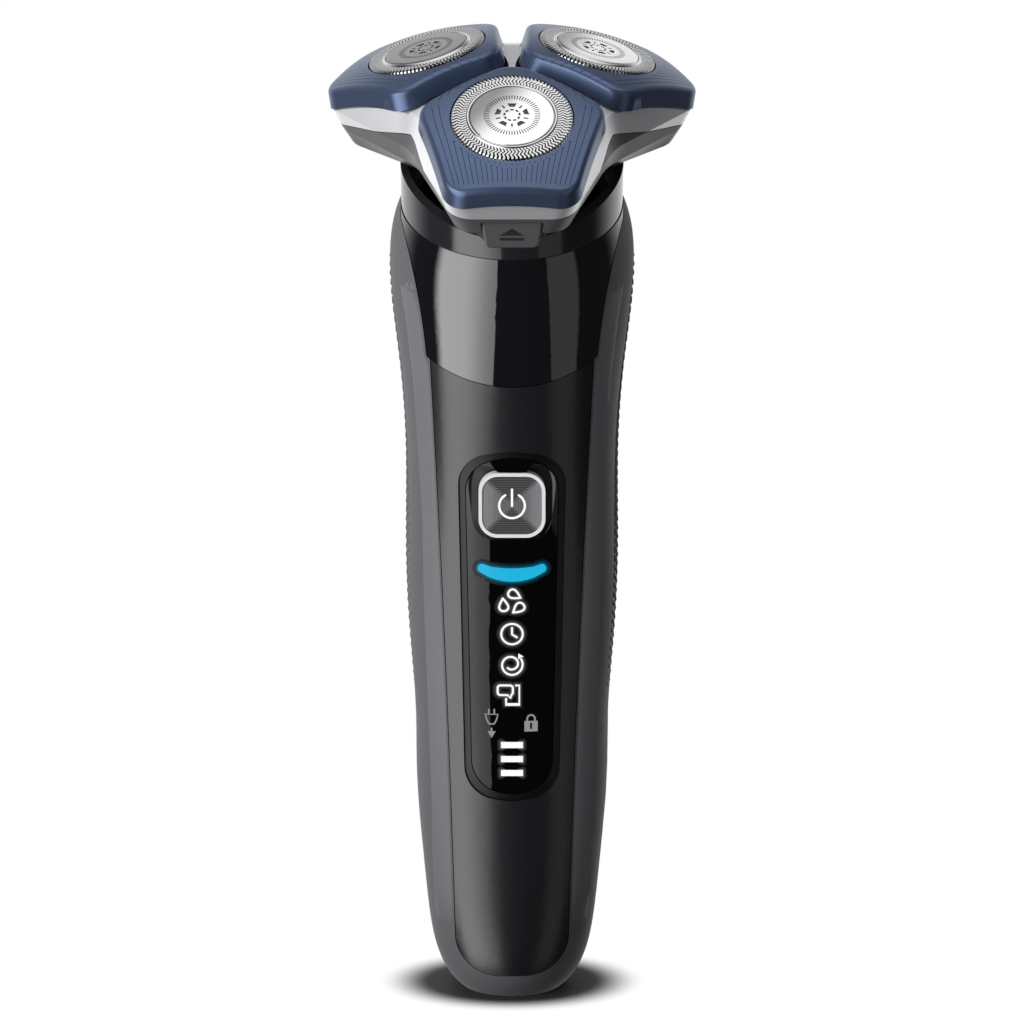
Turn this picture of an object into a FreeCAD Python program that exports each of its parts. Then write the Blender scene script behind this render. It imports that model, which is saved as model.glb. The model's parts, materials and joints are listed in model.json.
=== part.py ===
import FreeCAD, Part
import math
import os

from FreeCAD import Placement, Rotation, Vector

# Electric shaver with three rotary cutting heads on a soft-touch handle. Millimetres.
# The origin is the centre of the flat base, +Z runs up the handle, and the front with the power button
# faces -Y. The shaving head has its own frame: origin between the three caps, +Z out of the head, one
# lobe at the front and two at the back.

# --- Clearances and walls shared by many pieces ---
seam_gap = 0.15
running_fit = 0.05
free_gap = 0.4
shell_wall = 2.0
reach_front = 60.0

# --- Handle sections from the base up: height, lean to the back, half width, half depth ---
base_half_width = 9.2
base_half_depth = 8.0
heel_height = 4.0
heel_half_width = 12.4
heel_half_depth = 10.8
ankle_height = 12.0
ankle_half_width = 14.7
ankle_half_depth = 12.9
shank_height = 31.0
shank_half_width = 16.6
shank_half_depth = 14.6
waist_height = 52.0
waist_half_width = 17.3
waist_half_depth = 15.4
chest_height = 95.0
chest_lean = 0.6
chest_half_width = 18.6
chest_half_depth = 17.4
collar_height = 120.0
collar_lean = 2.2
collar_tilt = 5.0
collar_half_width = 20.1
collar_half_depth = 20.2
shoulder_half_width = 21.4
shoulder_half_depth = 21.4
shoulder_drop = 7.2
section_squareness = 2.35

# --- Neck and the head's frame ---
neck_height = 145.3
neck_lean = 1.5
neck_radius = 19.6
section_points = 16
head_tilt = 15.0
head_rise = 25.5
ring_edge_tilt = 3.5
rim_side_height = 7.9
rim_front_height = 3.7
rim_back_height = 6.2
rim_wall = 1.0
rim_flare = 1.4
socket_radius = 17.2
socket_wall = 1.2
socket_floor_drop = 2.5
socket_floor_thickness = 2.0
socket_lip = 2.0
collar_height_in_neck = 1.0

# --- Front of the handle: matte panel, gloss fascia, display lens, power button ---
panel_top_half_width = 14.3
panel_mid_height = 83.0
panel_mid_half_width = 12.5
panel_low_half_width = 10.2
panel_end = 5.1
panel_end_round = 7.5
fascia_end = 116.7
fascia_corner_height = 120.8
fascia_corner_half_width = 14.9
fascia_waist_height = 131.9
fascia_waist_half_width = 16.5
fascia_shoulder_height = 143.4
fascia_shoulder_half_width = 19.5
lens_above_button = 2.75
lens_bottom = 41.0
lens_top_half_width = 8.25
lens_bottom_half_width = 7.1
lens_corner = 6.0
lens_bow = 1.2
lens_recess_margin = 1.3
lens_recess_depth = 0.35
lens_rebate = 1.2
button_height = 95.1
button_size = 11.7
button_corner = 3.4
button_ring_width = 0.6
button_ring_depth = 2.0
button_proud = 0.3
button_face_sink = 0.15
button_travel = 0.5
dish_side = 4.9
dish_end = 1.6
dish_depth = 1.7
dish_corner = 5.0
smile_height = 83.1
smile_half_width = 5.2
smile_end_round = 0.85
smile_end_turn = 35.0
smile_rise = 0.1
smile_sag = 2.4
bar_count = 3
bar_low = 44.5
bar_pitch = 2.62
bar_height = 1.15
bar_half_width = 1.96

# --- Inside the handle ---
frame_wall = 1.2
frame_back = 6.5
frame_low = 14.0
frame_high = 114.0
battery_radius = 7.1
battery_length = 50.0
battery_low = 24.0
battery_lean = 2.6
tab_thickness = 0.3
tab_width = 8.0
board_half_width = 9.5
board_thickness = 1.2
board_low = 34.0
board_high = 106.0
board_standoff = 1.0
post_radius = 1.2
post_margin = 2.5
switch_size = 5.0
led_size = 1.6
led_low = 50.0
led_pitch = 7.0
led_count = 5
motor_radius = 9.0
motor_length = 24.0
motor_boss_radius = 3.0
motor_boss_height = 1.0
motor_round = 1.0
motor_bearing = 6.0
mount_thickness = 2.0
mount_screw_radius = 1.0
mount_screw_spacing = 13.0
shaft_radius = 1.0
coupler_radius = 2.4
coupler_bite = 3.0
seal_section = 0.8
seal_radius = 2.6
inlet_width = 8.4
inlet_height = 5.4
inlet_depth = 8.0
inlet_wall = 1.0
inlet_corner = 1.2
inlet_centre_height = 17.0
pin_radius = 0.6
pin_length = 2.4
pin_spacing = 4.0

# --- Caps, pads and cutters, each in its lobe's frame: origin at the cap's centre, +Z along its axis ---
cap_circle_radius = 17.3
cap_tilt = 16.7
cap_radius = 10.5
cap_wall = 0.5
cap_height = 3.9
cap_travel = 0.8
cap_flange = 0.8
cap_flange_thickness = 0.6
track_radius = 7.9
slot_count = 45
slot_width = 0.45
slot_margin = 0.35
disc_radius = 7.56
disc_thickness = 0.3
pad_apex = 15.0
pad_side_x = 4.3
pad_side_half_width = 16.3
pad_end = 16.1
pad_end_half_width = 10.7
pad_corner = 4.5
pad_apex_corner = 6.0
pad_flare = 0.9
pad_flare_depth = 9.0
pad_crown_radius = 55.0
pad_thickness = 3.3
pad_sink = 0.3
pad_wall = 1.4
pad_boss_radius = 12.3
pad_edge_round = 1.2
pad_crown_drop = 6.0
pad_tilt_travel = 5.0
pivot_depth = 4.2
pivot_radius = 0.8
pivot_length = 2.4
well_radius = 13.2
lug_width = 3.6
lug_thickness = 1.1
lug_depth = 7.1
ring_inner_radius = 9.4
ring_thickness = 1.1
ring_ear_angle = 8.0
cutter_ring_inner = 6.9
cutter_ring_thickness = 0.7
cutter_gap = 0.08
blade_count = 15
blade_width = 0.45
blade_height = 1.5
hub_radius = 2.5
hub_length = 3.6
spoke_width = 1.4
spoke_root = 0.5
spindle_radius = 1.2
spindle_ball = 1.4
spindle_socket = 1.85

# --- Head holder, head base and gears, in the head's frame ---
holder_end = 31.4
holder_end_half_width = 11.0
holder_waist = 20.6
holder_corner = 4.6
holder_valley = 14.0
parting_depth = 8.9
holder_brow = 9.7
holder_bottom = 13.5
holder_top = 3.0
holder_inset = 1.5
holder_gap = 0.35
holder_wall = 1.8
holder_flare = 0.5
holder_rebate = 2.4
base_side_bottom = 16.5
base_side_inset = 2.7
waist_bottom_inset = 5.5
waist_top_inset = 2.5
base_wall = 1.2
base_floor = 0.9
base_ledge = 0.7
deck_thickness = 1.0
deck_inset = 5.6
deck_screw_circle = 13.3
deck_screw_radius = 0.7
gear_thickness = 1.6
gear_gap = 0.2
sun_teeth = 42
planet_teeth = 21
tooth_gap = 0.12
pressure_angle = 20.0
journal_radius = 1.5
sun_hub_radius = 3.6
pin_foot_radius = 0.8
stem_radius = 8.0
stem_wall = 1.4
hinge_offset = 25.4
hinge_height = -9.0
hinge_half_width = 7.0
hinge_inner_half_width = 3.5
hinge_pin_radius = 0.8
hinge_knuckle_radius = 1.7
arm_root_low = -5.6
arm_root_high = -4.0
ear_root_low = -13.0
ear_root_high = -9.6
release_top_half_width = 5.3
release_low_half_width = 4.5
release_height = 5.2
release_reach = 29.2
release_thickness = 1.6
release_corner = 1.0
boss_half_width = 7.0
boss_drop = 2.4
boss_depth = 3.4
release_travel = 0.8
spring_half_length = 2.6
spring_half_height = 0.9
spring_bow = 0.9
spring_strip = 0.2


# ---------------------------------------------------------------- helpers
def box(x_low, x_high, y_low, y_high, z_low, z_high):
    """A block between two corners."""
    return Part.makeBox(x_high - x_low, y_high - y_low, z_high - z_low, Vector(x_low, y_low, z_low))


def cylinder(radius, low, high, x=0.0, y=0.0):
    """An upright cylinder between two heights."""
    return Part.makeCylinder(radius, high - low, Vector(x, y, low))


def tube(outer, inner, low, high):
    """An upright tube between two heights."""
    return cylinder(outer, low, high).cut(cylinder(inner, low, high))


def rounded_wire(corners, radii):
    """Closed outline through 3-D corners in one plane: straight sides joined by tangent arcs."""
    count = len(corners)
    starts, arcs = [], []
    for index in range(count):
        corner = corners[index]
        before = (corners[index - 1] - corner).normalize()
        after = (corners[(index + 1) % count] - corner).normalize()
        half = before.getAngle(after) / 2
        setback = radii[index] / math.tan(half)
        bisector = (before + after).normalize()
        reach = radii[index] / math.sin(half) - radii[index]
        start, end = corner + before * setback, corner + after * setback
        arcs.append(Part.Arc(start, corner + bisector * reach, end).toShape())
        starts.append((start, end))
    edges = []
    for index in range(count):
        edges.append(arcs[index])
        edges.append(Part.LineSegment(starts[index][1], starts[(index + 1) % count][0]).toShape())
    return Part.Wire(edges)


def extrude(wire, direction):
    """Solid prism from a flat closed outline."""
    return Part.Face(wire).extrude(direction)


# ---------------------------------------------------------------- frames
neck_frame = Placement(Vector(0, neck_lean, neck_height), Rotation(Vector(1, 0, 0), head_tilt))
head_frame = neck_frame.multiply(Placement(Vector(0, 0, head_rise), Rotation()))
lobe_angles = (-90.0, 30.0, 150.0)


def placed(shape, placement):
    """A copy of a shape carried by a placement."""
    copy = shape.copy()
    copy.Placement = placement.multiply(copy.Placement)
    return copy


def turned(shape, angle):
    """A copy of a shape turned about the Z axis."""
    return placed(shape, Placement(Vector(0, 0, 0), Rotation(Vector(0, 0, 1), angle)))


def lobe_in_head(angle):
    """Frame of one lobe inside the head's frame."""
    turn = Placement(Vector(0, 0, 0), Rotation(Vector(0, 0, 1), angle))
    lean = Placement(Vector(cap_circle_radius, 0, 0), Rotation(Vector(0, 1, 0), cap_tilt))
    return turn.multiply(lean)


def on_head(shape):
    return placed(shape, head_frame)


def on_lobe(shape, angle):
    return placed(shape, head_frame.multiply(lobe_in_head(angle)))


# ---------------------------------------------------------------- handle skin
def below_neck(distance):
    """Point on the head's axis below the neck plane."""
    return neck_frame.multVec(Vector(0, 0, -distance))


def section_wire(centre, tilt, half_width, half_depth, squareness):
    """One closed cross-section of the handle, a slightly squared oval."""
    points = []
    for step in range(section_points):
        angle = 2 * math.pi * step / section_points
        across, along = math.cos(angle), math.sin(angle)
        x = half_width * math.copysign(abs(across) ** (2 / squareness), across)
        y = half_depth * math.copysign(abs(along) ** (2 / squareness), along)
        points.append(Vector(x, y, 0))
    curve = Part.BSplineCurve()
    curve.interpolate(Points=points, PeriodicFlag=True)
    wire = Part.Wire(curve.toShape())
    wire.Placement = Placement(centre, Rotation(Vector(1, 0, 0), tilt))
    return wire


def handle_body(inset):
    """Solid inside the handle's skin, a given depth under it, up to the neck plane."""
    edge_tilt = head_tilt + ring_edge_tilt
    oval = 2.0
    soft = (section_squareness + oval) / 2
    sections = [
        (Vector(0, 0, inset), 0, base_half_width, base_half_depth, oval),
        (Vector(0, 0, heel_height + inset * 0.6), 0, heel_half_width, heel_half_depth, oval),
        (Vector(0, 0, ankle_height), 0, ankle_half_width, ankle_half_depth, soft),
        (Vector(0, 0, shank_height), 0, shank_half_width, shank_half_depth, section_squareness),
        (Vector(0, 0, waist_height), 0, waist_half_width, waist_half_depth, section_squareness),
        (Vector(0, chest_lean, chest_height), 0, chest_half_width, chest_half_depth, section_squareness),
        (Vector(0, collar_lean, collar_height), collar_tilt, collar_half_width, collar_half_depth, soft),
        (below_neck(shoulder_drop), head_tilt, shoulder_half_width, shoulder_half_depth, oval),
        (neck_frame.Base, edge_tilt, neck_radius, neck_radius, oval),
    ]
    wires = []
    for centre, tilt, half_width, half_depth, squareness in sections:
        wires.append(section_wire(centre, tilt, half_width - inset, half_depth - inset, squareness))
    return Part.makeLoft(wires, True, False)


def ring_body():
    """Solid collar above the neck plane, before it is bored and its rim is shaped."""
    low_radius = neck_radius - seam_gap
    edge = section_wire(neck_frame.Base, head_tilt + ring_edge_tilt, low_radius, low_radius, 2)
    top_radius = socket_radius + rim_flare + rim_wall
    top = section_wire(below_neck(-2 * rim_side_height), head_tilt, top_radius, top_radius, 2)
    return Part.makeLoft([edge, top], True, True)


def rim_bound():
    """Big cylinder across the handle whose upper side is the curved rim of the neck."""
    front = Vector(0, -socket_radius, rim_front_height)
    side = Vector(0, 0, rim_side_height)
    back = Vector(0, socket_radius, rim_back_height)
    arc = Part.Circle(front, side, back)
    centre = arc.Center + Vector(-2 * neck_radius, 0, 0)
    return placed(Part.makeCylinder(arc.Radius, 4 * neck_radius, centre, Vector(1, 0, 0)), neck_frame)


def neck_ring():
    mouth_radius = socket_radius + 2 * rim_flare
    bore = Part.makeCone(socket_radius, mouth_radius, 2 * rim_side_height, Vector(0, 0, socket_lip))
    bore = bore.fuse(cylinder(socket_radius, -neck_radius, socket_lip))
    return ring_body().common(rim_bound()).cut(placed(bore, neck_frame))


# ---------------------------------------------------------------- outlines on the front of the handle
def front_point(x, height):
    return Vector(x, -reach_front, height)


def front_prism(wire):
    """Prism from an outline in front of the handle back to its middle plane."""
    return extrude(wire, Vector(0, reach_front, 0))


def window_wire(y, height, half_width, half_height, corner):
    """Upright rectangle with rounded corners, facing along Y."""
    low, high = Vector(half_width, y, height - half_height), Vector(half_width, y, height + half_height)
    return rounded_wire([low, high, across(high), across(low)], [corner] * 4)


def across(point):
    """The same point on the other side of the middle plane."""
    return Vector(-point.x, point.y, point.z)


def spline_edge(points):
    curve = Part.BSplineCurve()
    curve.interpolate(Points=points)
    return curve.toShape()


def fascia_prism(grow):
    """Upper front area: gloss fascia, wide at the shoulder and closed by a bow below."""
    side = [
        front_point(fascia_shoulder_half_width + grow, fascia_shoulder_height),
        front_point(fascia_waist_half_width + grow, fascia_waist_height),
        front_point(fascia_corner_half_width + grow, fascia_corner_height),
    ]
    other = [across(point) for point in reversed(side)]
    middle = front_point(0, fascia_end - grow)
    bow = Part.Arc(side[-1], middle, other[0]).toShape()
    top = front_point(side[0].x + rim_flare, neck_height + 2 * rim_side_height)
    lines = [
        Part.makeLine(other[-1], across(top)),
        Part.makeLine(across(top), top),
        Part.makeLine(top, side[0]),
    ]
    return front_prism(Part.Wire([spline_edge(side), bow, spline_edge(other)] + lines))


def panel_prism(grow):
    """Long front area below the fascia: matte panel, narrowing to a rounded lower end."""
    top = front_point(panel_top_half_width + grow, fascia_corner_height)
    middle = front_point(panel_mid_half_width + grow, panel_mid_height)
    low = front_point(panel_low_half_width + grow, panel_end + panel_end_round)
    centre = front_point(panel_low_half_width - panel_end_round, panel_end + panel_end_round)
    slant = (panel_end_round + grow) * math.sqrt(0.5)
    round_middle = centre + Vector(slant, 0, -slant)
    foot = centre + Vector(0, 0, -panel_end_round - grow)
    edges = [
        Part.Arc(top, middle, low).toShape(),
        Part.Arc(low, round_middle, foot).toShape(),
        Part.makeLine(foot, across(foot)),
        Part.Arc(across(foot), across(round_middle), across(low)).toShape(),
        Part.Arc(across(low), across(middle), across(top)).toShape(),
        Part.makeLine(across(top), top),
    ]
    return front_prism(Part.Wire(edges))


def lens_top():
    """Top of the display window, a little above the power button."""
    return button_height + button_size / 2 + lens_above_button


def lens_prism(grow):
    """Tall display window with rounded corners, a little wider at the top."""
    top = front_point(0, lens_top() + grow)
    bottom = front_point(0, lens_bottom - grow)
    top_side = front_point(lens_top_half_width + grow, top.z - lens_bow)
    low_side = front_point(lens_bottom_half_width + grow, bottom.z + lens_bow)
    loop = [bottom, low_side, top_side, top, across(top_side), across(low_side)]
    return front_prism(rounded_wire(loop, [lens_corner] * len(loop)))


def button_prism(grow):
    """Rounded square round the power button's axis."""
    half = button_size / 2 + grow
    return front_prism(window_wire(-reach_front, button_height, half, half, button_corner + grow))


def button_dish():
    """Sloping dish in the lens round the button, wide at the sides and steep above and below."""
    half = button_size / 2 + seam_gap
    front = button_front()
    rim = window_wire(front, button_height, half + dish_side, half + dish_end, dish_corner)
    foot = window_wire(front + dish_depth, button_height, half, half, button_corner + seam_gap)
    return Part.makeLoft([rim, foot], True, True)


def smile_prism():
    """Crescent light bar: a shallow arc above, a deeper one below, and round ends."""
    turn = math.radians(smile_end_turn)
    end_low = smile_height - smile_end_round * math.cos(turn)
    low = front_point(smile_half_width + smile_end_round * math.sin(turn), end_low)
    tip = front_point(smile_half_width + smile_end_round, smile_height)
    high = front_point(smile_half_width, smile_height + smile_end_round)
    edges = [
        Part.Arc(across(low), front_point(0, smile_height - smile_sag), low).toShape(),
        Part.Arc(low, tip, high).toShape(),
        Part.Arc(high, front_point(0, smile_height + smile_rise), across(high)).toShape(),
        Part.Arc(across(high), across(tip), across(low)).toShape(),
    ]
    return front_prism(Part.Wire(edges))


# ---------------------------------------------------------------- outer pieces of the handle
def grip_shell(skin, inside):
    """Soft-touch shell: both sides, back and bottom, open at the front."""
    shell = skin.cut(inside)
    shell = shell.cut(fascia_prism(seam_gap / 2)).cut(panel_prism(seam_gap / 2))
    return shell.cut(inlet_block(seam_gap / 2))


def fascia(skin, inside):
    return skin.cut(inside).common(fascia_prism(-seam_gap / 2))


def front_panel(skin, inside):
    """Matte panel with the display's window and a shallow step round it."""
    panel = skin.cut(inside).common(panel_prism(-seam_gap / 2)).cut(fascia_prism(seam_gap / 2))
    step = skin.cut(handle_body(lens_recess_depth)).common(lens_prism(lens_recess_margin))
    return panel.cut(step).cut(lens_prism(seam_gap / 2))


def lens_layer():
    """Shell layer that holds the lens and the lights set in it."""
    return handle_body(lens_recess_depth).cut(handle_body(shell_wall))


def display_lens():
    lens = lens_layer().common(lens_prism(-seam_gap / 2)).cut(button_prism(seam_gap)).cut(button_dish())
    return lens.cut(smile_prism()).cut(bar_prisms())


def bar_prisms():
    """Three charge-level windows, one above the other."""
    bars = []
    for index in range(bar_count):
        low = bar_low + index * bar_pitch
        bars.append(box(-bar_half_width, bar_half_width, -reach_front, 0, low, low + bar_height))
    return Part.makeCompound(bars)


def light_bar():
    return lens_layer().common(smile_prism())


def charge_bars():
    return lens_layer().common(bar_prisms())


def button_front():
    """How far forward the skin is at the power button."""
    line = Part.makeLine(Vector(0, -reach_front, button_height), Vector(0, 0, button_height))
    return handle_body(0).common(line).BoundBox.YMin


def power_button():
    """Button face and the bright ring round it, both moving together."""
    front = button_front() - button_proud
    back = front + button_ring_depth
    low, high = button_height - button_size, button_height + button_size
    face_slab = box(-button_size, button_size, front + button_face_sink, back, low, high)
    ring_slab = box(-button_size, button_size, front, back, low, high)
    face = button_prism(-button_ring_width).common(face_slab)
    ring = button_prism(0).cut(button_prism(-button_ring_width)).common(ring_slab)
    return face, ring


# ---------------------------------------------------------------- inside the handle
def inner_frame(core):
    """Tray behind the front: a thin skin and a cross plate that carry the board and the battery."""
    reach = reach_front
    tray = core.common(box(-reach, reach, -reach, frame_wall - frame_back, frame_low, frame_high))
    hollow = box(-reach, reach, -reach, -frame_back, frame_low + frame_wall, frame_high - frame_wall)
    tray = tray.cut(handle_body(shell_wall + frame_wall).common(hollow))
    half = lens_bottom_half_width - lens_rebate
    window = box(-half, half, -reach, -frame_back, lens_bottom + lens_rebate, lens_top() - lens_rebate)
    return tray.cut(window).fuse(board_posts())


def battery_cell():
    return cylinder(battery_radius, battery_low, battery_low + battery_length, 0, battery_lean)


def battery_tabs():
    """Nickel tabs on the two ends of the cell."""
    tabs = []
    for low in (battery_low - tab_thickness, battery_low + battery_length):
        front = -frame_back + frame_wall
        tabs.append(box(-tab_width / 2, tab_width / 2, front, battery_lean, low, low + tab_thickness))
    return Part.makeCompound(tabs)


def board_back():
    return -frame_back - board_standoff


def control_board():
    front = board_back() - board_thickness
    return box(-board_half_width, board_half_width, front, board_back(), board_low, board_high)


def board_posts():
    """Four posts that hold the board off the cross plate."""
    posts = []
    for x in (post_margin - board_half_width, board_half_width - post_margin):
        for height in (board_low + post_margin, board_high - post_margin):
            foot = Vector(x, board_back(), height)
            posts.append(Part.makeCylinder(post_radius, board_standoff, foot, Vector(0, 1, 0)))
    return posts


def tact_switch():
    front = board_back() - board_thickness
    tip = button_front() - button_proud + button_ring_depth + button_travel + running_fit
    half = switch_size / 2
    base = box(-half, half, front - switch_size / 2, front, button_height - half, button_height + half)
    stem = Part.makeCylinder(half / 2, front - tip, Vector(0, tip, button_height), Vector(0, 1, 0))
    return base.fuse(stem)


def status_leds():
    """One LED behind each light window and symbol."""
    front = board_back() - board_thickness
    half = led_size / 2
    leds = []
    for height in [smile_height] + [led_low + index * led_pitch for index in range(led_count)]:
        leds.append(box(-half, half, front - half, front, height - half, height + half))
    return Part.makeCompound(leds)


def neck_socket():
    """Black cup in the neck: floor, wall and the collar that guides the head's stem."""
    floor_low = -socket_floor_drop - socket_floor_thickness
    wall = tube(socket_radius, socket_radius - socket_wall, -socket_floor_drop, socket_lip)
    floor = cylinder(socket_radius, floor_low, -socket_floor_drop)
    collar_bore = stem_radius + free_gap / 2
    collar = tube(collar_bore + socket_wall, collar_bore, -socket_floor_drop, collar_height_in_neck)
    cup = floor.fuse(wall).fuse(collar)
    cup = cup.cut(cylinder(seal_radius, floor_low, -socket_floor_drop - seal_section))
    return placed(cup.cut(cylinder(shaft_radius + free_gap, floor_low, 0)), neck_frame)


def shaft_seal():
    floor_low = -socket_floor_drop - socket_floor_thickness
    seal = tube(seal_radius, shaft_radius + running_fit, floor_low, -socket_floor_drop - seal_section)
    return placed(seal, neck_frame)


def mount_top():
    return -socket_floor_drop - socket_floor_thickness


def screw_places():
    return [(mount_screw_spacing / 2, 0), (-mount_screw_spacing / 2, 0)]


def motor_mount(core):
    """Plate across the neck that the motor is screwed to."""
    plate = placed(cylinder(2 * neck_radius, mount_top() - mount_thickness, mount_top()), neck_frame)
    plate = plate.common(core)
    holes = cylinder(motor_boss_radius, -reach_front, reach_front)
    for x, y in screw_places():
        holes = holes.fuse(cylinder(mount_screw_radius, -reach_front, reach_front, x, y))
    return plate.cut(placed(holes, neck_frame))


def motor_can():
    top = mount_top() - mount_thickness
    can = cylinder(motor_radius, top - motor_length, top)
    can = can.makeFillet(motor_round, [edge for edge in can.Edges if edge.Length > motor_radius * 6])
    boss = cylinder(motor_boss_radius, top, top + motor_boss_height)
    bearing = cylinder(shaft_radius + running_fit, top - motor_bearing, top + motor_boss_height)
    can = can.fuse(boss).cut(bearing)
    for x, y in screw_places():
        can = can.cut(cylinder(mount_screw_radius, top - mount_thickness, top, x, y))
    return placed(can, neck_frame)


def motor_screws():
    """Two screws down through the mount plate into the motor's face."""
    top = mount_top()
    screws = []
    for x, y in screw_places():
        screws.append(placed(cylinder(mount_screw_radius, top - 2 * mount_thickness, top, x, y), neck_frame))
    return Part.makeCompound(screws)


def coupler_low():
    return -socket_floor_drop + free_gap


def drive_shaft():
    low = mount_top() - mount_thickness - motor_bearing + free_gap
    return placed(cylinder(shaft_radius, low, coupler_low() + coupler_bite), neck_frame)


def hexagon(radius, low, high):
    """Upright six-sided prism."""
    corners = []
    for side in range(7):
        corners.append(Rotation(Vector(0, 0, 1), 60 * side).multVec(Vector(radius, 0, low)))
    return extrude(Part.makePolygon(corners), Vector(0, 0, high - low))


def drive_coupler():
    low = coupler_low()
    coupler = hexagon(coupler_radius, low, low + 2 * coupler_bite)
    return placed(coupler.cut(cylinder(shaft_radius, low, low + coupler_bite)), neck_frame)


def inlet_block(grow):
    """Block of the charging inlet, cut flush with the back of the handle."""
    half_width = inlet_width / 2 + inlet_wall + grow
    half_height = inlet_height / 2 + inlet_wall + grow
    outline = window_wire(0, inlet_centre_height, half_width, half_height, inlet_corner + inlet_wall)
    return extrude(outline, Vector(0, reach_front, 0))


def inlet_mouth(skin):
    """Where the back of the handle meets the inlet's axis."""
    line = Part.makeLine(Vector(0, 0, inlet_centre_height), Vector(0, reach_front, inlet_centre_height))
    return skin.common(line).BoundBox.YMax


def charging_inlet(skin):
    mouth = inlet_mouth(skin)
    floor = mouth - inlet_depth
    block = inlet_block(-seam_gap / 2).common(skin)
    block = block.cut(box(-reach_front, reach_front, -1, floor - inlet_wall, 0, frame_high))
    hole = window_wire(floor, inlet_centre_height, inlet_width / 2, inlet_height / 2, inlet_corner)
    return block.cut(extrude(hole, Vector(0, reach_front, 0)))


def inlet_pins(skin):
    floor = inlet_mouth(skin) - inlet_depth
    pins = []
    for x in (-pin_spacing / 2, pin_spacing / 2):
        foot = Vector(x, floor, inlet_centre_height)
        pins.append(Part.makeCylinder(pin_radius, pin_length, foot, Vector(0, 1, 0)))
    return Part.makeCompound(pins)


# ---------------------------------------------------------------- head outlines
def flipped(point):
    return Vector(point.x, -point.y, point.z)


def lobed_wire(inset, waist_inset, height):
    """Plan of the head at one height: three blunt lobes joined by shallow valleys."""
    corners, radii = [], []
    for angle in lobe_angles:
        turn = Rotation(Vector(0, 0, 1), angle)
        end, half = holder_end - inset, holder_end_half_width - inset * 0.6
        waist = holder_waist - waist_inset
        valley = Vector(waist * math.cos(math.pi / 3), waist * math.sin(math.pi / 3), height)
        for point in (Vector(end, -half, height), Vector(end, half, height), valley):
            corners.append(turn.multVec(point))
        radii += [holder_corner, holder_corner, holder_valley]
    return rounded_wire(corners, radii)


def head_body(inset):
    """Outside of the whole head below the pads, or the same shape set in."""
    levels = (
        (base_side_inset, waist_bottom_inset, -base_side_bottom),
        (holder_inset, holder_inset, -holder_bottom),
        (0, 0, -holder_brow),
        (-holder_flare, waist_top_inset, -holder_top),
    )
    wires = [lobed_wire(inset + lobe, inset + waist, height) for lobe, waist, height in levels]
    return Part.makeLoft(wires, True, True)


def below_parting(sink):
    """All that lies under the parting planes, one tilted plane to each lobe."""
    reach = 2 * holder_end
    core = box(-reach, reach, -reach, reach, -reach, reach)
    for angle in lobe_angles:
        slab = box(-reach, reach, -reach, reach, -2 * reach, -parting_depth - sink)
        core = core.common(placed(slab, lobe_in_head(angle)))
    return core


def above_pads(angle):
    """All that lies above the underside of one pad, out to the valleys beside it."""
    reach = 2 * holder_end
    corners = [Vector(0, 0, -holder_bottom), Vector(reach / 2, -reach * math.sqrt(0.75), -holder_bottom)]
    corners += [Vector(reach, 0, -holder_bottom), flipped(corners[1])]
    sector = turned(extrude(Part.makePolygon(corners + corners[:1]), Vector(0, 0, reach)), angle)
    return sector.cut(placed(crown(pad_thickness + holder_gap), lobe_in_head(angle)))


def pad_wire(flare, height):
    """Five-cornered outline of a skin pad, apex towards the middle of the head."""
    corners = [
        Vector(-pad_apex - flare, 0, height),
        Vector(-pad_side_x, -pad_side_half_width - flare, height),
        Vector(pad_end + flare, -pad_end_half_width - flare * 0.6, height),
        Vector(pad_end + flare, pad_end_half_width + flare * 0.6, height),
        Vector(-pad_side_x, pad_side_half_width + flare, height),
    ]
    return rounded_wire(corners, [pad_apex_corner] + [pad_corner] * 4)


def pad_prism(grow):
    """Flared prism through a whole pad and what lies above it."""
    top = pad_wire(grow - pad_flare, pad_flare_depth)
    bottom = pad_wire(grow + pad_flare, -pad_flare_depth)
    return Part.makeLoft([top, bottom], True, True)


def crown(depth):
    """Ball whose top is the pads' crowned surface, sunk by a depth."""
    rise = cap_radius ** 2 / (2 * pad_crown_radius)
    return Part.makeSphere(pad_crown_radius, Vector(0, 0, rise - pad_sink - depth - pad_crown_radius))


# ---------------------------------------------------------------- pieces of one lobe, in the lobe's frame
def skin_pad():
    """Blue pad round a cap, with two lugs that carry the pivots and lock the retaining ring."""
    top = pad_prism(0).common(crown(0))
    rim = [edge for edge in top.Edges if edge.BoundBox.ZMin > -pad_crown_drop and edge.BoundBox.ZMax < 0]
    slab = top.makeFillet(pad_edge_round, rim).cut(crown(pad_thickness))
    hollow = pad_prism(-pad_wall).common(crown(pad_wall)).cut(cylinder(pad_boss_radius, -pad_flare_depth, 0))
    pad = slab.cut(hollow)
    for side in (-1, 1):
        pad = pad.fuse(pad_lug(side))
    return pad.cut(cylinder(cap_radius + seam_gap, -pad_flare_depth, pad_flare_depth))


def lug_radius():
    return cap_radius + cap_flange + free_gap


def pad_lug(side):
    """One lug under the pad: pivot pin outwards, groove for the ring's ear inwards."""
    inner, outer = lug_radius(), lug_radius() + lug_thickness
    low = -lug_depth
    lug = box(-lug_width / 2, lug_width / 2, inner, outer, low, -cap_height + pad_thickness / 2)
    pin = Part.makeCylinder(pivot_radius, pivot_length, Vector(0, outer, -pivot_depth), Vector(0, 1, 0))
    groove = cylinder(ring_ear_radius() + running_fit, ring_low() - running_fit, ring_high() + running_fit)
    lug = lug.cut(groove).fuse(pin)
    return turned(lug, 0 if side > 0 else 180)


def ring_high():
    return -cap_height - cap_flange_thickness - cap_travel - free_gap / 2


def ring_low():
    return ring_high() - ring_thickness


def ring_ear_radius():
    return lug_radius() + lug_thickness / 2


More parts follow.
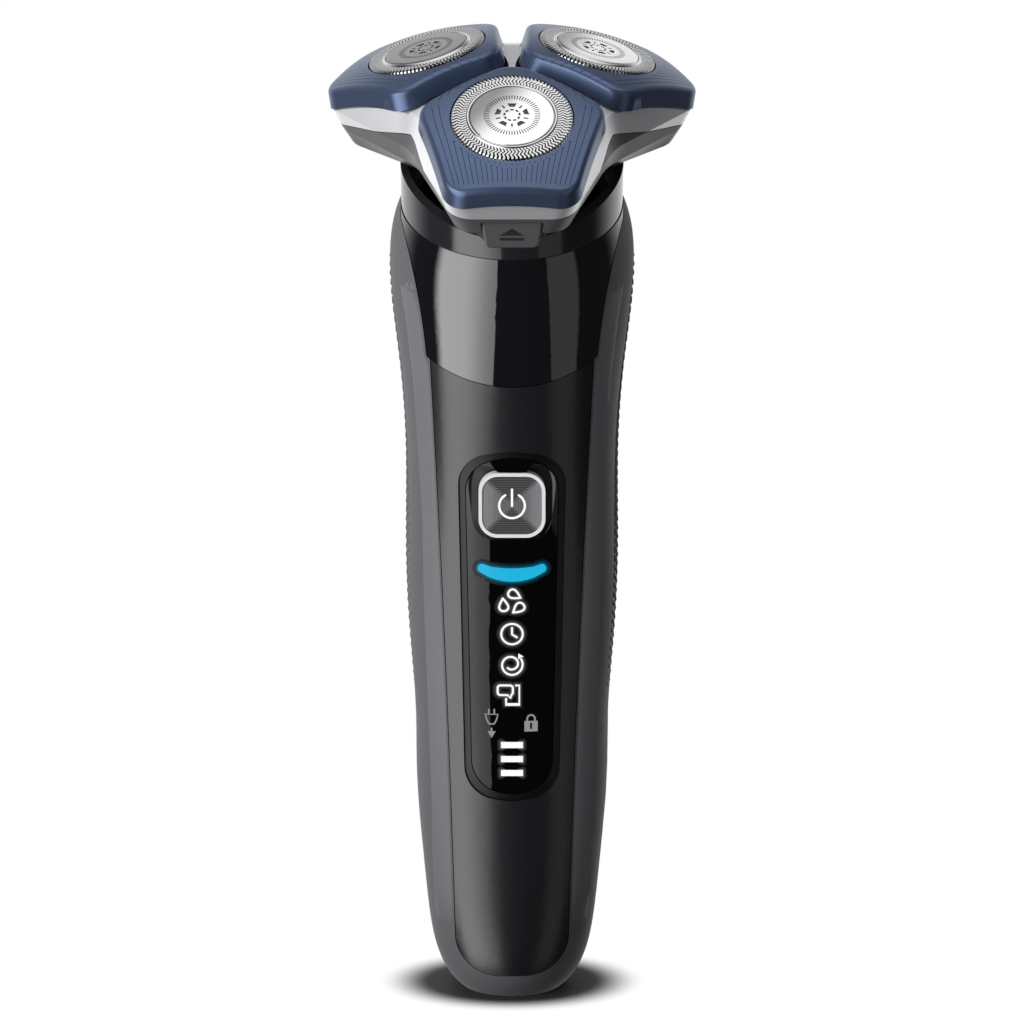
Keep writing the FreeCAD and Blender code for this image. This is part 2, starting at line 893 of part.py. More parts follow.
def retaining_ring():
    """Twist-lock ring under a pad, with an ear for each lug."""
    outer = lug_radius() - free_gap / 2
    ring = tube(outer, ring_inner_radius, ring_low(), ring_high())
    ear = tube(ring_ear_radius(), outer - ring_thickness, ring_low(), ring_high())
    half = outer * math.tan(math.radians(ring_ear_angle))
    return ring.fuse(ear.common(box(-half, half, -outer * 2, outer * 2, ring_low(), ring_high())))


def shaving_cap():
    """Slotted steel cap: flat annulus, deep rim and a flange that the ring holds."""
    cap = cylinder(cap_radius, -cap_height, 0)
    cap = cap.makeFillet(cap_wall * 0.8, [edge for edge in cap.Edges if edge.BoundBox.ZMin > -cap_wall])
    cap = cap.cut(cylinder(cap_radius - cap_wall, -cap_height, -cap_wall))
    low = -cap_height - cap_flange_thickness
    cap = cap.fuse(tube(cap_radius + cap_flange, cap_radius - cap_wall, low, -cap_height))
    slot_start, slot_end = track_radius + slot_margin, cap_radius - cap_wall - slot_margin / 2
    slot = box(slot_start, slot_end, -slot_width / 2, slot_width / 2, -2 * cap_wall, cap_wall)
    slots = [turned(slot, 360.0 * index / slot_count) for index in range(slot_count)]
    return cap.cut(Part.makeCompound(slots))


def cap_disc():
    """Bright disc on the middle of a cap."""
    disc = cylinder(disc_radius, 0, disc_thickness)
    rim = [edge for edge in disc.Edges if edge.BoundBox.ZMin > disc_thickness / 2]
    return disc.makeChamfer(disc_thickness / 2, rim)


def cutter():
    """Ring of blades under the cap's track, with spokes and a socketed hub."""
    top = -cap_wall - cutter_gap
    ring_top = top - blade_height
    low = ring_top - cutter_ring_thickness
    outer = cap_radius - cap_wall - free_gap
    body = tube(outer, cutter_ring_inner, low, ring_top)
    hub_top = -cap_wall - free_gap
    body = body.fuse(cylinder(hub_radius, hub_top - hub_length, hub_top))
    spoke = box(0, cutter_ring_inner + spoke_root, -spoke_width / 2, spoke_width / 2, low, ring_top)
    for angle in (0.0, 120.0, 240.0):
        body = body.fuse(turned(spoke, angle))
    blade = box(track_radius, outer, -blade_width / 2, blade_width / 2, ring_top, top)
    for index in range(blade_count):
        body = body.fuse(turned(blade, 360.0 * index / blade_count))
    socket_top = -pivot_depth + spindle_ball + cap_travel + free_gap
    return body.cut(cylinder(spindle_socket, hub_top - hub_length, socket_top))


# ---------------------------------------------------------------- gears, in the head's frame
spindle_circle = cap_circle_radius - pivot_depth * math.sin(math.radians(cap_tilt))
spindle_tip = -pivot_depth * math.cos(math.radians(cap_tilt))
gear_module = 2 * spindle_circle / (sun_teeth + planet_teeth)
floor_top = base_floor - base_side_bottom
gear_low = floor_top + gear_gap
gear_high = gear_low + gear_thickness
deck_low = gear_high + gear_gap
deck_high = deck_low + deck_thickness
stem_low = -head_rise - socket_floor_drop + free_gap


def gear_wire(teeth, height, phase):
    """Spur gear outline with involute flanks; one tooth is centred on the phase angle."""
    pitch_radius = gear_module * teeth / 2
    base_radius = pitch_radius * math.cos(math.radians(pressure_angle))
    tip_radius = pitch_radius + 0.9 * gear_module
    root_radius = pitch_radius - 1.15 * gear_module

    def roll(radius):
        turn = math.acos(min(1.0, base_radius / radius))
        return math.tan(turn) - turn

    half_pitch_tooth = math.pi / (2 * teeth) - tooth_gap / (2 * pitch_radius)
    flank = []
    for step in range(4):
        radius = max(base_radius, root_radius) + (tip_radius - max(base_radius, root_radius)) * step / 3
        flank.append((radius, half_pitch_tooth + roll(pitch_radius) - roll(radius)))
    flank.insert(0, (root_radius, flank[0][1]))
    points = []
    for tooth in range(teeth):
        centre = math.radians(phase) + 2 * math.pi * tooth / teeth
        for radius, half in flank:
            points.append((radius, centre - half))
        for radius, half in reversed(flank):
            points.append((radius, centre + half))
    corners = [Vector(radius * math.cos(angle), radius * math.sin(angle), height) for radius, angle in points]
    return Part.makePolygon(corners + corners[:1])


def gear(teeth, phase):
    return extrude(gear_wire(teeth, gear_low, phase), Vector(0, 0, gear_thickness))


def sun_gear():
    """Central gear with a journal above and a socketed hub below for the drive coupler."""
    body = gear(sun_teeth, lobe_angles[0])
    body = body.fuse(cylinder(journal_radius, gear_high, deck_high))
    hub_low = stem_low + coupler_bite
    body = body.fuse(cylinder(sun_hub_radius, hub_low, gear_low))
    return body.cut(hexagon(coupler_radius + seam_gap, hub_low, hub_low + coupler_bite + 1.5 * free_gap))


def planet_gear():
    """Small gear and the spindle whose round tip turns a cutter, on the +X side of the head's axis."""
    body = gear(planet_teeth, 180.0 + 180.0 / planet_teeth)
    body = body.fuse(cylinder(spindle_radius, gear_low, spindle_tip))
    body = body.fuse(cylinder(pin_foot_radius, gear_low - base_floor / 2, gear_low))
    body = body.fuse(Part.makeSphere(spindle_ball, Vector(0, 0, spindle_tip)))
    return placed(body, Placement(Vector(spindle_circle, 0, 0), Rotation()))


def gear_deck():
    """Plate over the gears that the spindles stand through; it is the floor of the hair chamber."""
    deck = extrude(lobed_wire(deck_inset, deck_inset, deck_low), Vector(0, 0, deck_thickness))
    deck = deck.cut(cylinder(journal_radius + running_fit, deck_low, deck_high))
    spindle_hole = cylinder(spindle_radius + running_fit, deck_low, deck_high, spindle_circle)
    for angle in lobe_angles:
        deck = deck.cut(turned(spindle_hole, angle)).cut(turned(deck_screw(running_fit), angle))
    return deck


def valley_post(radius, low, high):
    """Round post in the valley after a lobe, where a deck screw stands."""
    return turned(cylinder(radius, low, high, deck_screw_circle), 60)


def deck_screw(grow):
    return valley_post(deck_screw_radius + grow, floor_top + gear_gap, deck_high)


def deck_screws():
    return Part.makeCompound([on_head(turned(deck_screw(0), angle)) for angle in lobe_angles])


# ---------------------------------------------------------------- head base, holder, latch
def head_base():
    """Dark lower housing: gear well with posts, stem that plugs into the neck, latch boss and hinge ears."""
    side = -base_side_bottom
    body = head_body(0).common(below_parting(seam_gap))
    body = body.cut(head_well(deck_inset + base_ledge, floor_top, deck_low))
    body = body.cut(head_well(deck_inset - seam_gap, deck_low, 0))
    foot_low = gear_low - base_floor * 0.7
    foot_hole = cylinder(pin_foot_radius + running_fit, foot_low, floor_top, spindle_circle)
    post = valley_post(deck_screw_radius * 2, floor_top, deck_low)
    for angle in lobe_angles:
        body = body.fuse(turned(post, angle)).cut(turned(deck_screw(0), angle)).cut(turned(foot_hole, angle))
    body = body.fuse(latch_boss()).cut(latch_pocket())
    body = body.fuse(cylinder(stem_radius, stem_low, side))
    body = body.cut(cylinder(stem_radius - stem_wall, stem_low, floor_top))
    web_low = stem_low + coupler_bite + free_gap
    web = tube(stem_radius - stem_wall, sun_hub_radius + running_fit, web_low, web_low + base_wall)
    return body.fuse(web).fuse(hinge_ears())


def head_well(inset, low, high):
    return extrude(lobed_wire(inset, inset, low), Vector(0, 0, high - low))


def latch_boss():
    """Block at the front that guides the release button."""
    back = boss_depth + free_gap + release_thickness - release_reach
    right = [
        Vector(boss_half_width, back, deck_low),
        Vector(boss_half_width, back, -base_side_bottom),
        Vector(boss_half_width - boss_drop, back, -base_side_bottom - boss_drop),
    ]
    corners = right + [across(corner) for corner in reversed(right)]
    return extrude(Part.makePolygon(corners + corners[:1]), Vector(0, -boss_depth, 0))


def latch_pocket():
    """Room for the release button's travel in the head base."""
    start = -release_reach - release_thickness
    return extrude(release_wire(start, seam_gap), Vector(0, spring_back() - start, 0))


def release_wire(y, grow):
    """Front outline of the release button: a tab wider at the top, corners rounded."""
    top = Vector(release_top_half_width + grow, y, deck_low - free_gap + grow)
    low = Vector(release_low_half_width + grow, y, deck_low - free_gap - release_height - grow)
    top_corner = release_corner / 2
    radii = [release_corner, top_corner, top_corner, release_corner]
    return rounded_wire([low, top, across(top), across(low)], radii)


def release_button():
    """Front tab that is pressed in to let the holder swing up."""
    tab = extrude(release_wire(-release_reach, 0), Vector(0, release_thickness, 0))
    front = [edge for edge in tab.Edges if edge.BoundBox.YMax < -release_reach + 0.01]
    return tab.makeFillet(release_thickness * 0.25, front)


def latch_spring():
    """Bowed leaf behind the release button, drawn pressed flat into its recess."""
    height = release_middle() - spring_half_height
    front_end = Vector(spring_half_length, spring_back() + spring_bow, height)
    front_middle = Vector(0, spring_back(), height)
    thickness = Vector(0, spring_strip, 0)
    back_end, back_middle = front_end + thickness, front_middle + thickness
    edges = [
        Part.Arc(across(front_end), front_middle, front_end).toShape(),
        Part.makeLine(front_end, back_end),
        Part.Arc(back_end, back_middle, across(back_end)).toShape(),
        Part.makeLine(across(back_end), across(front_end)),
    ]
    return extrude(Part.Wire(edges), Vector(0, 0, 2 * spring_half_height))


def release_middle():
    """Height of the middle of the release button."""
    return deck_low - free_gap - release_height / 2


def spring_back():
    """Where the release button's pocket ends, with the button pressed in."""
    return -release_reach + release_thickness + release_travel + free_gap


def spring_recess():
    """Hollow in the head base that takes the leaf."""
    half = spring_half_length + free_gap
    back = spring_back() + spring_bow + spring_strip + free_gap / 2
    low = release_middle() - spring_half_height - free_gap
    high = release_middle() + spring_half_height + free_gap
    return box(-half, half, spring_back() - free_gap, back, low, high)


def hinge_line(low, high, radius):
    """Cylinder along the holder's hinge, between two places across the head."""
    return Part.makeCylinder(radius, high - low, Vector(low, hinge_offset, hinge_height), Vector(1, 0, 0))


def hinge_arm(low, high, root, start):
    """Knuckle with the arm that joins it to its housing; the root gives the arm's two heights there."""
    rise = math.copysign(hinge_knuckle_radius, sum(root) / 2 - hinge_height)
    corners = [
        Vector(low, start, root[0]),
        Vector(low, start, root[1]),
        Vector(low, hinge_offset, hinge_height + rise),
        Vector(low, hinge_offset, hinge_height + rise / 2),
    ]
    arm = extrude(Part.makePolygon(corners + corners[:1]), Vector(high - low, 0, 0))
    knuckle = hinge_line(low, high, hinge_knuckle_radius)
    return arm.fuse(knuckle).cut(hinge_line(low, high, hinge_pin_radius + running_fit))


def hinge_ears():
    """Two outer knuckles on the head base."""
    inner, outer = hinge_inner_half_width + free_gap / 2, hinge_half_width
    start = holder_waist - base_side_inset - base_wall
    root = (ear_root_high, ear_root_low)
    return Part.makeCompound([hinge_arm(inner, outer, root, start), hinge_arm(-outer, -inner, root, start)])


def hinge_pin():
    return hinge_line(-hinge_half_width, hinge_half_width, hinge_pin_radius)


def head_holder():
    """Silver frame that carries the pads: three wells, an outer wall and the middle hinge knuckle."""
    body = head_body(0).cut(below_parting(0))
    for angle in lobe_angles:
        body = body.cut(above_pads(angle))
    root = (arm_root_low, arm_root_high)
    start = holder_waist - holder_wall - waist_top_inset
    body = body.fuse(hinge_arm(-hinge_inner_half_width, hinge_inner_half_width, root, start))
    body = body.cut(head_well(holder_inset + holder_wall, -holder_bottom - 1, -holder_bottom + holder_rebate))
    for angle in lobe_angles:
        body = body.cut(placed(pad_room(), lobe_in_head(angle)))
    return body


def pad_room():
    """All that a pad and the parts under it sweep through, in the lobe's frame."""
    tall = pad_flare_depth
    above = pad_prism(free_gap).cut(crown(pad_thickness + holder_gap))
    tilt = Placement(Vector(0, 0, 0), Rotation(Vector(0, 1, 0), -pad_tilt_travel), Vector(0, 0, -pivot_depth))
    room = above.fuse(placed(above, tilt)).fuse(cylinder(well_radius, -2.5 * tall, tall))
    seat_reach = lug_radius() + lug_thickness + pivot_length + free_gap
    seat_end = Vector(0, -seat_reach, -pivot_depth)
    return room.fuse(Part.makeCylinder(pivot_radius + running_fit, 2 * seat_reach, seat_end, Vector(0, 1, 0)))


def export(name, shape):
    """Write one sub-part's STEP file."""
    shape.exportStep(os.path.join("parts", name + ".step"))


def build_handle():
    skin = handle_body(0.0)
    inside = handle_body(shell_wall)
    core = handle_body(shell_wall + running_fit)
    face, ring = power_button()
    export("grip_shell", grip_shell(skin, inside))
    export("upper_fascia", fascia(skin, inside))
    export("front_panel", front_panel(skin, inside))
    export("display_lens", display_lens())
    export("light_bar", light_bar())
    export("charge_bars", charge_bars())
    export("neck_ring", neck_ring())
    export("neck_socket", neck_socket())
    export("shaft_seal", shaft_seal())
    export("inner_frame", inner_frame(core))
    export("control_board", control_board())
    export("tact_switch", tact_switch())
    export("status_leds", status_leds())
    export("battery_cell", battery_cell())
    export("battery_tabs", battery_tabs())
    export("motor_mount", motor_mount(core))
    export("motor_can", motor_can())
    export("motor_screws", motor_screws())
    export("charging_inlet", charging_inlet(skin))
    export("inlet_pins", inlet_pins(skin))
    export("button_face", face)
    export("button_ring", ring)
    export("drive_shaft", drive_shaft())
    export("drive_coupler", drive_coupler())


def build_head():
    export("head_base", on_head(head_base().cut(spring_recess())))
    export("gear_deck", on_head(gear_deck()))
    export("deck_screws", deck_screws())
    export("hinge_pin", on_head(hinge_pin()))
    export("latch_spring", on_head(latch_spring()))
    export("release_button", on_head(release_button()))
    export("sun_gear", on_head(sun_gear()))
    export("head_holder", on_head(head_holder()))


def build_lobes():
    pieces = {
        "skin_pad": skin_pad(),
        "retaining_ring": retaining_ring(),
        "shaving_cap": shaving_cap(),
        "cap_disc": cap_disc(),
        "cutter": cutter(),
    }
    planet = planet_gear()
    for number, angle in enumerate(lobe_angles, 1):
        for name, shape in pieces.items():
            export(name + "_" + str(number), on_lobe(shape, angle))
        export("planet_gear_" + str(number), on_head(turned(planet, angle)))


os.makedirs("parts", exist_ok=True)
build_handle()
build_head()
build_lobes()
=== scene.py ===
import json
import math

import bmesh
import bpy
from mathutils import Matrix, Vector
from mathutils.bvhtree import BVHTree
from mathutils.interpolate import poly_3d_calc


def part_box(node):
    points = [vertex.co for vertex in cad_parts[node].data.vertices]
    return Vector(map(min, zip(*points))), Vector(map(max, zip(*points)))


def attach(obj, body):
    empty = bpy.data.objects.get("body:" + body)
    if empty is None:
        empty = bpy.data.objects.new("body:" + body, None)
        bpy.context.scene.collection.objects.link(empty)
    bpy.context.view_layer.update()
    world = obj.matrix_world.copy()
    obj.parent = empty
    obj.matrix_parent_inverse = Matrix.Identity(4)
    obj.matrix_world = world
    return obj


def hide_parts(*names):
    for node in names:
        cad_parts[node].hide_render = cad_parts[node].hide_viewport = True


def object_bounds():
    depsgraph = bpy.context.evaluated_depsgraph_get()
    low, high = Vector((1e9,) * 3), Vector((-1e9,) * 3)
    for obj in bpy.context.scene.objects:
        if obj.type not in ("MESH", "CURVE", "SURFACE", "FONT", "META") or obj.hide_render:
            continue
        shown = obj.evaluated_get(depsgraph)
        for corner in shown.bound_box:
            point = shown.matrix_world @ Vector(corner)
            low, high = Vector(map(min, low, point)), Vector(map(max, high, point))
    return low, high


# ---------------------------------------------------------------------------------------------
# The shaver as it is handed over: cutting head, handle and drive as rigid solids that stand on
# the flat foot. Its own box is noted first, because nothing added here may reach outside it.
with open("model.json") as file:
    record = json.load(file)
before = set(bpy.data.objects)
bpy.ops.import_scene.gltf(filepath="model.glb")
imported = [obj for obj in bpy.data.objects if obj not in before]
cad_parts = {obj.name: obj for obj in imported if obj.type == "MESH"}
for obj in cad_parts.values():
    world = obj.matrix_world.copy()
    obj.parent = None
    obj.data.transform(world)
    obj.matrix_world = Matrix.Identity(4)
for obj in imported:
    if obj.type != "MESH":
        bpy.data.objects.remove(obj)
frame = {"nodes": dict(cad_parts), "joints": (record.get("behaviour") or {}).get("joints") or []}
cad_low, cad_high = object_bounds()
joints = {joint["name"]: joint for joint in frame["joints"]}
mm = 0.001


# ---------------------------------------------------------------------------------------------
# White table in front of a white sweep. To the camera everything round the shaver is plain
# white, except a painted shadow: round the foot the table's colour is near black, fading to
# white further out. What gloss and metal mirror is the studio itself: a wide lit wall on the
# left, a dim strip on the right, a ceiling and the sweep behind.
class Wire:
    """An output of a node that can be used in arithmetic."""

    def __init__(self, tree, socket):
        self.tree, self.socket = tree, socket

    def math(self, operation, *others):
        """A Math node that takes this wire first and then the others, wires or numbers."""
        node = self.tree.nodes.new("ShaderNodeMath")
        node.operation = operation
        for index, value in enumerate((self, *others)):
            if isinstance(value, Wire):
                self.tree.links.new(value.socket, node.inputs[index])
            else:
                node.inputs[index].default_value = value
        return Wire(self.tree, node.outputs[0])

    def __add__(self, other):
        return self.math("ADD", other)

    def __sub__(self, other):
        return self.math("SUBTRACT", other)

    def __mul__(self, other):
        return self.math("MULTIPLY", other)

    def __neg__(self):
        return self.math("MULTIPLY", -1.0)

    def __rsub__(self, other):
        return -self + other

    __radd__, __rmul__ = __add__, __mul__


class Shading:
    """A shading tree whose nodes are made from their kind, settings and socket values."""

    def __init__(self, tree):
        self.tree = tree

    def node(self, kind, settings=(), values=(), output=0):
        """Any node: its settings first, then the values or wires of its sockets, by name or number."""
        node = self.tree.nodes.new("ShaderNode" + kind)
        for key, value in dict(settings).items():
            setattr(node, key, value)
        for key, value in dict(values).items():
            if isinstance(value, Wire):
                self.tree.links.new(value.socket, node.inputs[key])
            else:
                node.inputs[key].default_value = value
        return Wire(self.tree, node.outputs[output])

    def parts(self, vector):
        """The x, y and z of a vector as three wires."""
        split = self.node("SeparateXYZ", values={0: vector}).socket.node
        return [Wire(self.tree, output) for output in split.outputs]

    def step(self, wire, low, high):
        """0 at the low value, 1 at the high one and a soft ramp between."""
        spread = {"Value": wire, "From Min": low, "From Max": high}
        return self.node("MapRange", {"interpolation_type": "SMOOTHSTEP"}, spread)

    def camera_ray(self):
        """1 where the camera itself looks."""
        return self.node("LightPath", output="Is Camera Ray")

    def mirror_ray(self):
        """1 where gloss or glass looks."""
        glossy = self.node("LightPath", output="Is Glossy Ray")
        return glossy.math("MAXIMUM", self.node("LightPath", output="Is Transmission Ray"))


world = bpy.data.worlds.new("studio")
bpy.context.scene.world = world
world.use_nodes = True
room = Shading(world.node_tree)
x, y, z = room.parts(room.node("TexCoord", output="Generated"))
aside = x.math("ARCTAN2", -y)
level = room.step(z, -0.9, -0.7) * room.step(z, 0.62, 0.4)
left_wall = room.step(aside, -0.235, -0.25) * room.step(aside, -1.35, -1.15)
left_wall = left_wall * (1.7 + 2.2 * room.step(aside, -0.22, -0.8))
right_strip = room.step(aside, 0.56, 0.59) * room.step(aside, 1.12, 1.05) * 0.32
sweep = room.step(y, 0.15, 0.75) * room.step(z, 0.75, 0.3) * 1.15
ceiling = room.step(z, 0.72, 0.93) * 1.35
studio = (left_wall + right_strip) * level + sweep + ceiling + 0.035
fill = room.node("Background", values={"Color": (0.94, 0.96, 1.0, 1.0), "Strength": 0.20})
studio = room.node("Background", values={"Strength": studio})
backdrop = room.node("Background", values={"Color": (1.0, 1.0, 1.0, 1.0)})
seen = room.node("MixShader", values={0: room.mirror_ray(), 1: fill, 2: studio})
seen = room.node("MixShader", values={0: room.camera_ray(), 1: seen, 2: backdrop})
world.node_tree.links.new(seen.socket, world.node_tree.nodes["World Output"].inputs["Surface"])

table_radius = 0.40
table_gap = 0.05
shadow_inner = 0.015
shadow_outer = 0.0245
floor_shape = bmesh.new()
bmesh.ops.create_circle(floor_shape, cap_ends=True, segments=96, radius=table_radius)
bmesh.ops.translate(floor_shape, verts=floor_shape.verts, vec=(0, 0, cad_low.z - table_gap * mm))
floor_mesh = bpy.data.meshes.new("floor")
floor_shape.to_mesh(floor_mesh)
floor_shape.free()
floor = bpy.data.objects.new("floor", floor_mesh)
bpy.context.scene.collection.objects.link(floor)
floor_finish = bpy.data.materials.new("white_table")
floor_finish.use_nodes = True
table = Shading(floor_finish.node_tree)
painted_shadow = Wire(table.tree, table.tree.nodes["Principled BSDF"].outputs[0])
# Painted shadow: near the foot the table is near black, and between shadow_inner and shadow_outer it fades to
# the white glow.
painted_shadow.socket.node.inputs["Base Color"].default_value = (0.03, 0.03, 0.03, 1.0)
painted_shadow.socket.node.inputs["Roughness"].default_value = 0.7
x, y, _ = table.parts(table.node("TexCoord", output="Object"))
away = (x * x + 2.4 * y * y).math("SQRT")
past_painted_shadow = table.camera_ray() * table.step(away, shadow_inner, shadow_outer)
white_paper = table.node("Emission", values={"Strength": 1.0})
clear = table.node("BsdfTransparent")
shown = table.node("MixShader", values={0: past_painted_shadow, 1: painted_shadow, 2: white_paper})
shown = table.node("MixShader", values={0: table.mirror_ray(), 1: shown, 2: clear})
table.tree.links.new(shown.socket, table.tree.nodes["Material Output"].inputs["Surface"])
floor_mesh.materials.append(floor_finish)


# ---------------------------------------------------------------------------------------------
# Camera and lamps of a small product studio: a long lens a little above the shaver, a strong
# tall softbox on the left, a weak one on the right and a wide one overhead.
bpy.context.scene.view_settings.view_transform = "Standard"
camera_data = bpy.data.cameras.new("camera")
camera = bpy.data.objects.new("camera", camera_data)
bpy.context.scene.collection.objects.link(camera)
bpy.context.scene.camera = camera
camera_data.lens = 188.7
camera_data.sensor_width = 36.0
camera_data.clip_start = 0.05
camera_data.clip_end = 20.0
camera_drop = math.radians(15.945)
camera_away = 0.955
aim = Vector((0.0, -2.0 * mm, (cad_low.z + cad_high.z) / 2 + 2.17 * mm))
look = Vector((0.0, math.cos(camera_drop), -math.sin(camera_drop)))
camera.location = aim - look * camera_away
camera.rotation_euler = look.to_track_quat("-Z", "Y").to_euler()


def softbox(name, place, toward, width, height, power):
    """A lit panel aimed at a point. Gloss and metal don't mirror it."""
    lamp = bpy.data.lights.new(name, "AREA")
    lamp.shape = "RECTANGLE"
    lamp.size, lamp.size_y = width, height
    lamp.energy = power
    box = bpy.data.objects.new(name, lamp)
    bpy.context.scene.collection.objects.link(box)
    box.location = place
    box.rotation_euler = (Vector(toward) - Vector(place)).to_track_quat("-Z", "Y").to_euler()
    box.visible_glossy = False


softbox("left_box", (-0.80, -0.62, 0.34), (0, 0, 0.09), 0.5, 0.95, 16.0)
softbox("right_box", (0.80, -0.70, 0.30), (0, 0, 0.09), 0.3, 0.9, 1.2)
softbox("top_box", (-0.1, 0.10, 1.05), (0, 0, 0.12), 0.9, 0.7, 6.0)


# ---------------------------------------------------------------------------------------------
# Soft-touch grip: the rubbery shell that wraps the sides, the back and the foot, moulded over
# the handle in one shot, so it has no seam of its own and the same fine matt grain all over.
class Finish(Shading):
    """A material: even values sit on the shader's own sockets and only what varies is linked."""

    def __init__(self, name, **even):
        self.material = bpy.data.materials.new(name)
        self.material.use_nodes = True
        super().__init__(self.material.node_tree)
        self.shader = self.tree.nodes["Principled BSDF"]
        for key, value in even.items():
            self.shader.inputs[key].default_value = value

    def place(self, shift=(0, 0, 0)):
        """Object coordinates, counted from a pattern's own centre."""
        here = self.node("TexCoord", output="Object")
        return self.node("VectorMath", {"operation": "SUBTRACT"}, {0: here, 1: shift})

    def noise(self, scale):
        """Fine even noise; the scale says how many of its spots fit in a metre."""
        return self.node("TexNoise", values={"Vector": self.place(), "Scale": scale, "Detail": 1.0})

    def feed(self, socket, wire):
        """Links a wire to one of the shader's own sockets."""
        self.tree.links.new(wire.socket, self.shader.inputs[socket])

    def colours(self, mask, first, second):
        """Base colour that goes from the first to the second as the mask goes from 0 to 1."""
        values = {0: mask, 6: (*first, 1.0), 7: (*second, 1.0)}
        self.feed("Base Color", self.node("Mix", {"data_type": "RGBA"}, values, output=2))

    def grain(self, height, depth, strength):
        """Fine relief of the surface: the height wire times the depth in metres."""
        relief = {"Height": height, "Distance": depth, "Strength": strength}
        self.feed("Normal", self.node("Bump", values=relief))


def welded(*nodes):
    """One shape of the solids of some nodes, with loose corners joined."""
    shape = bmesh.new()
    for node in nodes:
        shape.from_mesh(frame["nodes"][node].data)
    bmesh.ops.remove_doubles(shape, verts=shape.verts, dist=0.002 * mm)
    return shape


def skin_of(*nodes):
    """The outside of some nodes, for finding where a line meets them."""
    shape = welded(*nodes)
    skin = BVHTree.FromBMesh(shape)
    shape.free()
    return skin


def piece(name, mesh, finish, body, replaces=(), second=None):
    """Makes an object of a finished mesh, which may bring its materials, and ties it to a body."""
    made = bpy.data.objects.new(name, mesh)
    bpy.context.scene.collection.objects.link(made)
    if not mesh.materials:
        mesh.materials.append(finish.material)
        if second:
            mesh.materials.append(second.material)
    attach(made, body)
    if replaces:
        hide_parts(*replaces)


def moulded(name, shape, finish, body, replaces=(), angle=30.0, second=None):
    """Turns a shape into a mesh whose curved faces are smooth, and makes a piece of it."""
    mesh = bpy.data.meshes.new(name)
    shape.to_mesh(mesh)
    shape.free()
    mesh.polygons.foreach_set("use_smooth", [True] * len(mesh.polygons))
    mesh.set_sharp_from_angle(angle=math.radians(angle))
    piece(name, mesh, finish, body, replaces, second)


def finished(name, node, finish, body, second=None):
    """Makes a piece of a node's own solid, with the exact curvature of its faces kept."""
    mesh = frame["nodes"][node].data.copy()
    mesh.materials.clear()
    piece(name, mesh, finish, body, [node], second)
    return mesh


rubber = Finish("soft_touch_rubber", **{"Base Color": (0.092, 0.092, 0.099, 1.0), "Roughness": 0.6,
                                        "Specular IOR Level": 0.3})
rubber.grain(rubber.noise(5200.0), 0.04 * mm, 0.3)
grip_skin = skin_of("grip_shell")
finished("grip_shell_skin", "grip_shell", rubber, "handle")


def skin_at(skin, x, z):
    """Where a line from the front first meets a skin, with the skin's direction there."""
    place, facing, _, _ = skin.ray_cast(Vector((x, -0.1, z)), Vector((0, 1, 0)))
    return place, facing


def grip_axis(z):
    """Point inside the handle at a height, a set distance in front of the back of the grip."""
    beside_inlet, forward = 7.0, 13.0
    back = grip_skin.ray_cast(Vector((beside_inlet * mm, 0.1, z)), Vector((0, -1, 0)))[0]
    return Vector((0, back.y - forward * mm, z))


# Woven texture on both flanks: rows of raised lozenges that lean one way and then the other,
# moulded with the grip, and smaller and smaller towards the foot until they are dots.
texture_high = 136.0
texture_low = 56.0
texture_row = 1.65
texture_columns = 15
texture_front = -22.0
texture_step = 5.4
texture_fade = 42.0
texture_top_fade = 14.0
lozenge_length = 2.0
lozenge_width = 0.8
lozenge_rise = 0.28
lean = math.radians(33)
lozenge = bmesh.new()
bmesh.ops.create_uvsphere(lozenge, u_segments=8, v_segments=4, radius=0.5 * mm)
lozenge_mesh = bpy.data.meshes.new("lozenge")
lozenge.to_mesh(lozenge_mesh)
lozenge.free()
texture = bmesh.new()
for row in range(int((texture_high - texture_low) / texture_row)):
    for column in range(texture_columns):
        z = texture_high - (row + column % 2 / 2) * texture_row
        fade = min(1.0, (z - texture_low) / texture_fade + 0.12)
        top_fade = min(1.0, (texture_high + 2.0 - z) / texture_top_fade + 0.1 * column)
        axis = grip_axis(z * mm)
        turn = math.radians(texture_front + texture_step * column)
        out = Vector((math.cos(turn), math.sin(turn), 0))
        place, facing, _, _ = grip_skin.ray_cast(axis + out * 0.1, -out)
        if place is None or top_fade < 0.25:
            continue
        size = fade * top_fade
        tangent = Vector((0, 0, 1)).cross(facing).normalized()
        up = facing.cross(tangent)
        basis = Matrix((tangent, up, facing)).transposed().to_4x4()
        tilt = lean * (1 if column % 2 else -1) if column else 0.0
        length = lozenge_length * (size ** 0.5 + size) / 2
        shape = Matrix.Diagonal((lozenge_width * size, length, lozenge_rise * 2 * min(1.0, size + 0.2), 1.0))
        spot = lozenge_mesh.copy()
        spot.transform(Matrix.Translation(place) @ basis @ Matrix.Rotation(tilt, 4, "Z") @ shape)
        texture.from_mesh(spot)
        bpy.data.meshes.remove(spot)
bpy.data.meshes.remove(lozenge_mesh)
both = texture.verts[:] + texture.edges[:] + texture.faces[:]
mirrored = bmesh.ops.duplicate(texture, geom=both)["geom"]
flipped = [part for part in mirrored if isinstance(part, bmesh.types.BMVert)]
bmesh.ops.scale(texture, vec=(-1, 1, 1), verts=flipped)
bmesh.ops.reverse_faces(texture, faces=[part for part in mirrored if isinstance(part, bmesh.types.BMFace)])
moulded("grip_texture", texture, rubber, "handle", angle=70.0)
